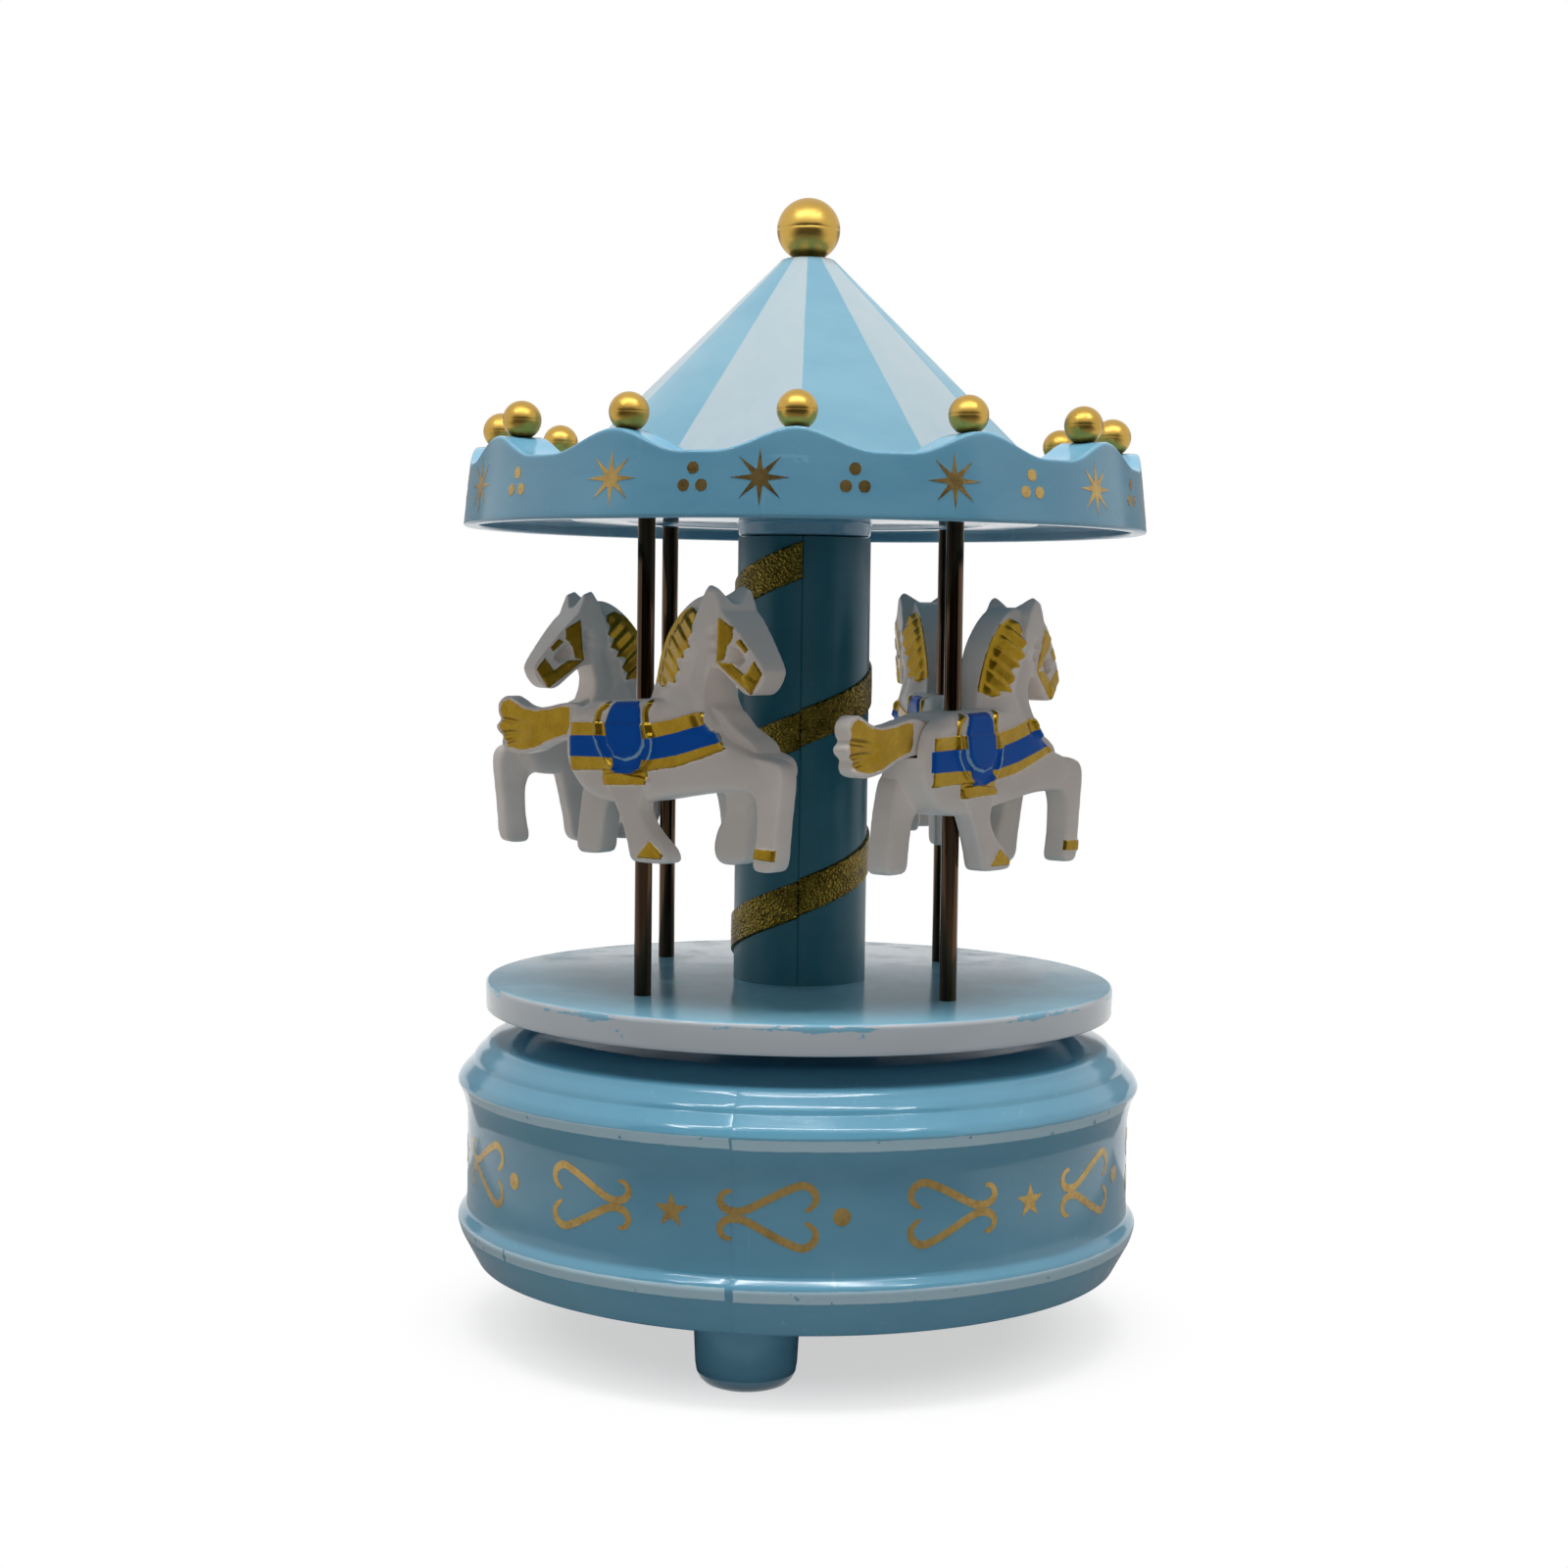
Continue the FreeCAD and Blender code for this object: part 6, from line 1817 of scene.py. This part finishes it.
horse_finish = make_horse_finish()
print("horses:", horse_finish.name)

# %% [markdown]
# ## The tails
# The tail is a separate flat moulding whose root is let into a slot in the rump. Its end is cut into lobes
# like locks of hair, with grooves between them, and its faces are printed gold up to the white edge. It
# is made as the horse's parts were, so that the same material fits both.

# %% Tail
TAIL = [
    (-9.2, 20.3), (-11.6, 21.3), (-14.0, 21.2), (-16.5, 20.7), (-19.2, 20.4), (-21.4, 20.7), (-23.1, 21.5),
    (-24.5, 22.0), (-25.7, 21.7), (-26.6, 20.7), (-26.5, 19.4), (-26.1, 18.6), (-26.9, 17.7), (-26.6, 16.9),
    (-25.7, 16.2), (-25.8, 15.1), (-25.0, 14.2), (-23.4, 13.8), (-21.9, 13.8), (-19.1, 14.3), (-17.2, 15.1),
    (-15.3, 15.8), (-12.9, 16.3), (-9.2, 17.0),
]
TAIL_GOLD = [
    (-12.3, 20.8), (-14.0, 20.8), (-16.5, 20.3), (-19.2, 20.0), (-21.5, 20.3), (-23.2, 21.1), (-24.6, 21.6),
    (-25.7, 21.1), (-26.2, 20.2), (-25.8, 18.7), (-26.4, 17.7), (-25.8, 16.5), (-25.2, 15.4), (-24.6, 14.7),
    (-21.9, 14.3), (-19.1, 14.8), (-17.2, 15.6), (-15.3, 16.3), (-12.9, 16.9), (-12.3, 18.0),
]
LOCKS = [
    [(-26.3, 18.6), (-23.5, 18.3), (-20.5, 17.9)],
    [(-26.0, 16.5), (-23.5, 16.7), (-20.5, 16.8)],
    [(-25.6, 15.3), (-23.2, 15.8), (-20.5, 16.2)],
]
TAIL_SIDES = (-2.25, 0.05)
TAIL_VOXEL = 0.16
LOCKS_START, LOCKS_RUN = -19.0, 5.0
GROOVE_WIDTH, GROOVE_DEPTH = 0.42, 0.5


def horse_tail():
    """A lobed plate with grooves on both faces."""
    tail = remeshed(slab(TAIL, *TAIL_SIDES, steps=5), TAIL_VOXEL, 8, 0.06)
    points, normals = read_points(tail)
    flat = points[:, (0, 2)]
    on_face = np.clip(np.abs(normals[:, 1]) * 1.8 - 0.5, 0.0, 1.0)
    towards_end = np.clip((LOCKS_START - flat[:, 0]) / LOCKS_RUN, 0.0, 1.0)
    groove = sum(bead(flat, lock, GROOVE_WIDTH) for lock in LOCKS) * towards_end
    points[:, 1] -= np.sign(normals[:, 1]) * GROOVE_DEPTH * groove * on_face
    write_points(tail, points)
    gold = np.minimum(depth_inside(flat, TAIL_GOLD), (np.abs(normals[:, 1]) - 0.4) * 2.0)
    store(tail, "gold_inside", gold)
    for unused in ("blue_inside", "pale_line"):
        store(tail, unused, np.full(len(points), -1.0))
    return tail


tail = horse_tail()
print("tail skin", len(tail.data.polygons), "faces")

# %% [markdown]
# ## On the poles
# All four horses came out of one mould, and so did the tails. One of each is made, and every pole gets a
# copy with its own mesh. The real ones were glued on by hand, so each is turned a little differently.

# %% Put the horses and tails on their poles
HORSE_TURNS = (8.0, 8.0, -33.0, -16.0)
for i in (1, 2, 3, 4):
    pole_low, pole_high = reach("pole_%d" % i)
    place = (pole_low + pole_high) / 2
    around_axis = angle_of(place)
    ahead = Matrix.Rotation(math.radians(around_axis + 90.0 + HORSE_TURNS[i - 1]), 4, "Z")
    hooves = reach("horse_%d" % i)[0].z
    stand = Matrix.Translation((place.x, place.y, hooves)) @ ahead
    for source, name, node in (
        (horse, "printed_horse_%d", "horse_%d"),
        (tail, "horse_tail_%d", "tail_%d"),
    ):
        twin = copy_of(source)
        twin.data.transform(stand)
        hand_over(twin, name % i, "carousel", [horse_finish], [node % i], 60.0)
bpy.data.objects.remove(horse)
bpy.data.objects.remove(tail)

# %% Count the pieces made
print("pieces made:", len(made))
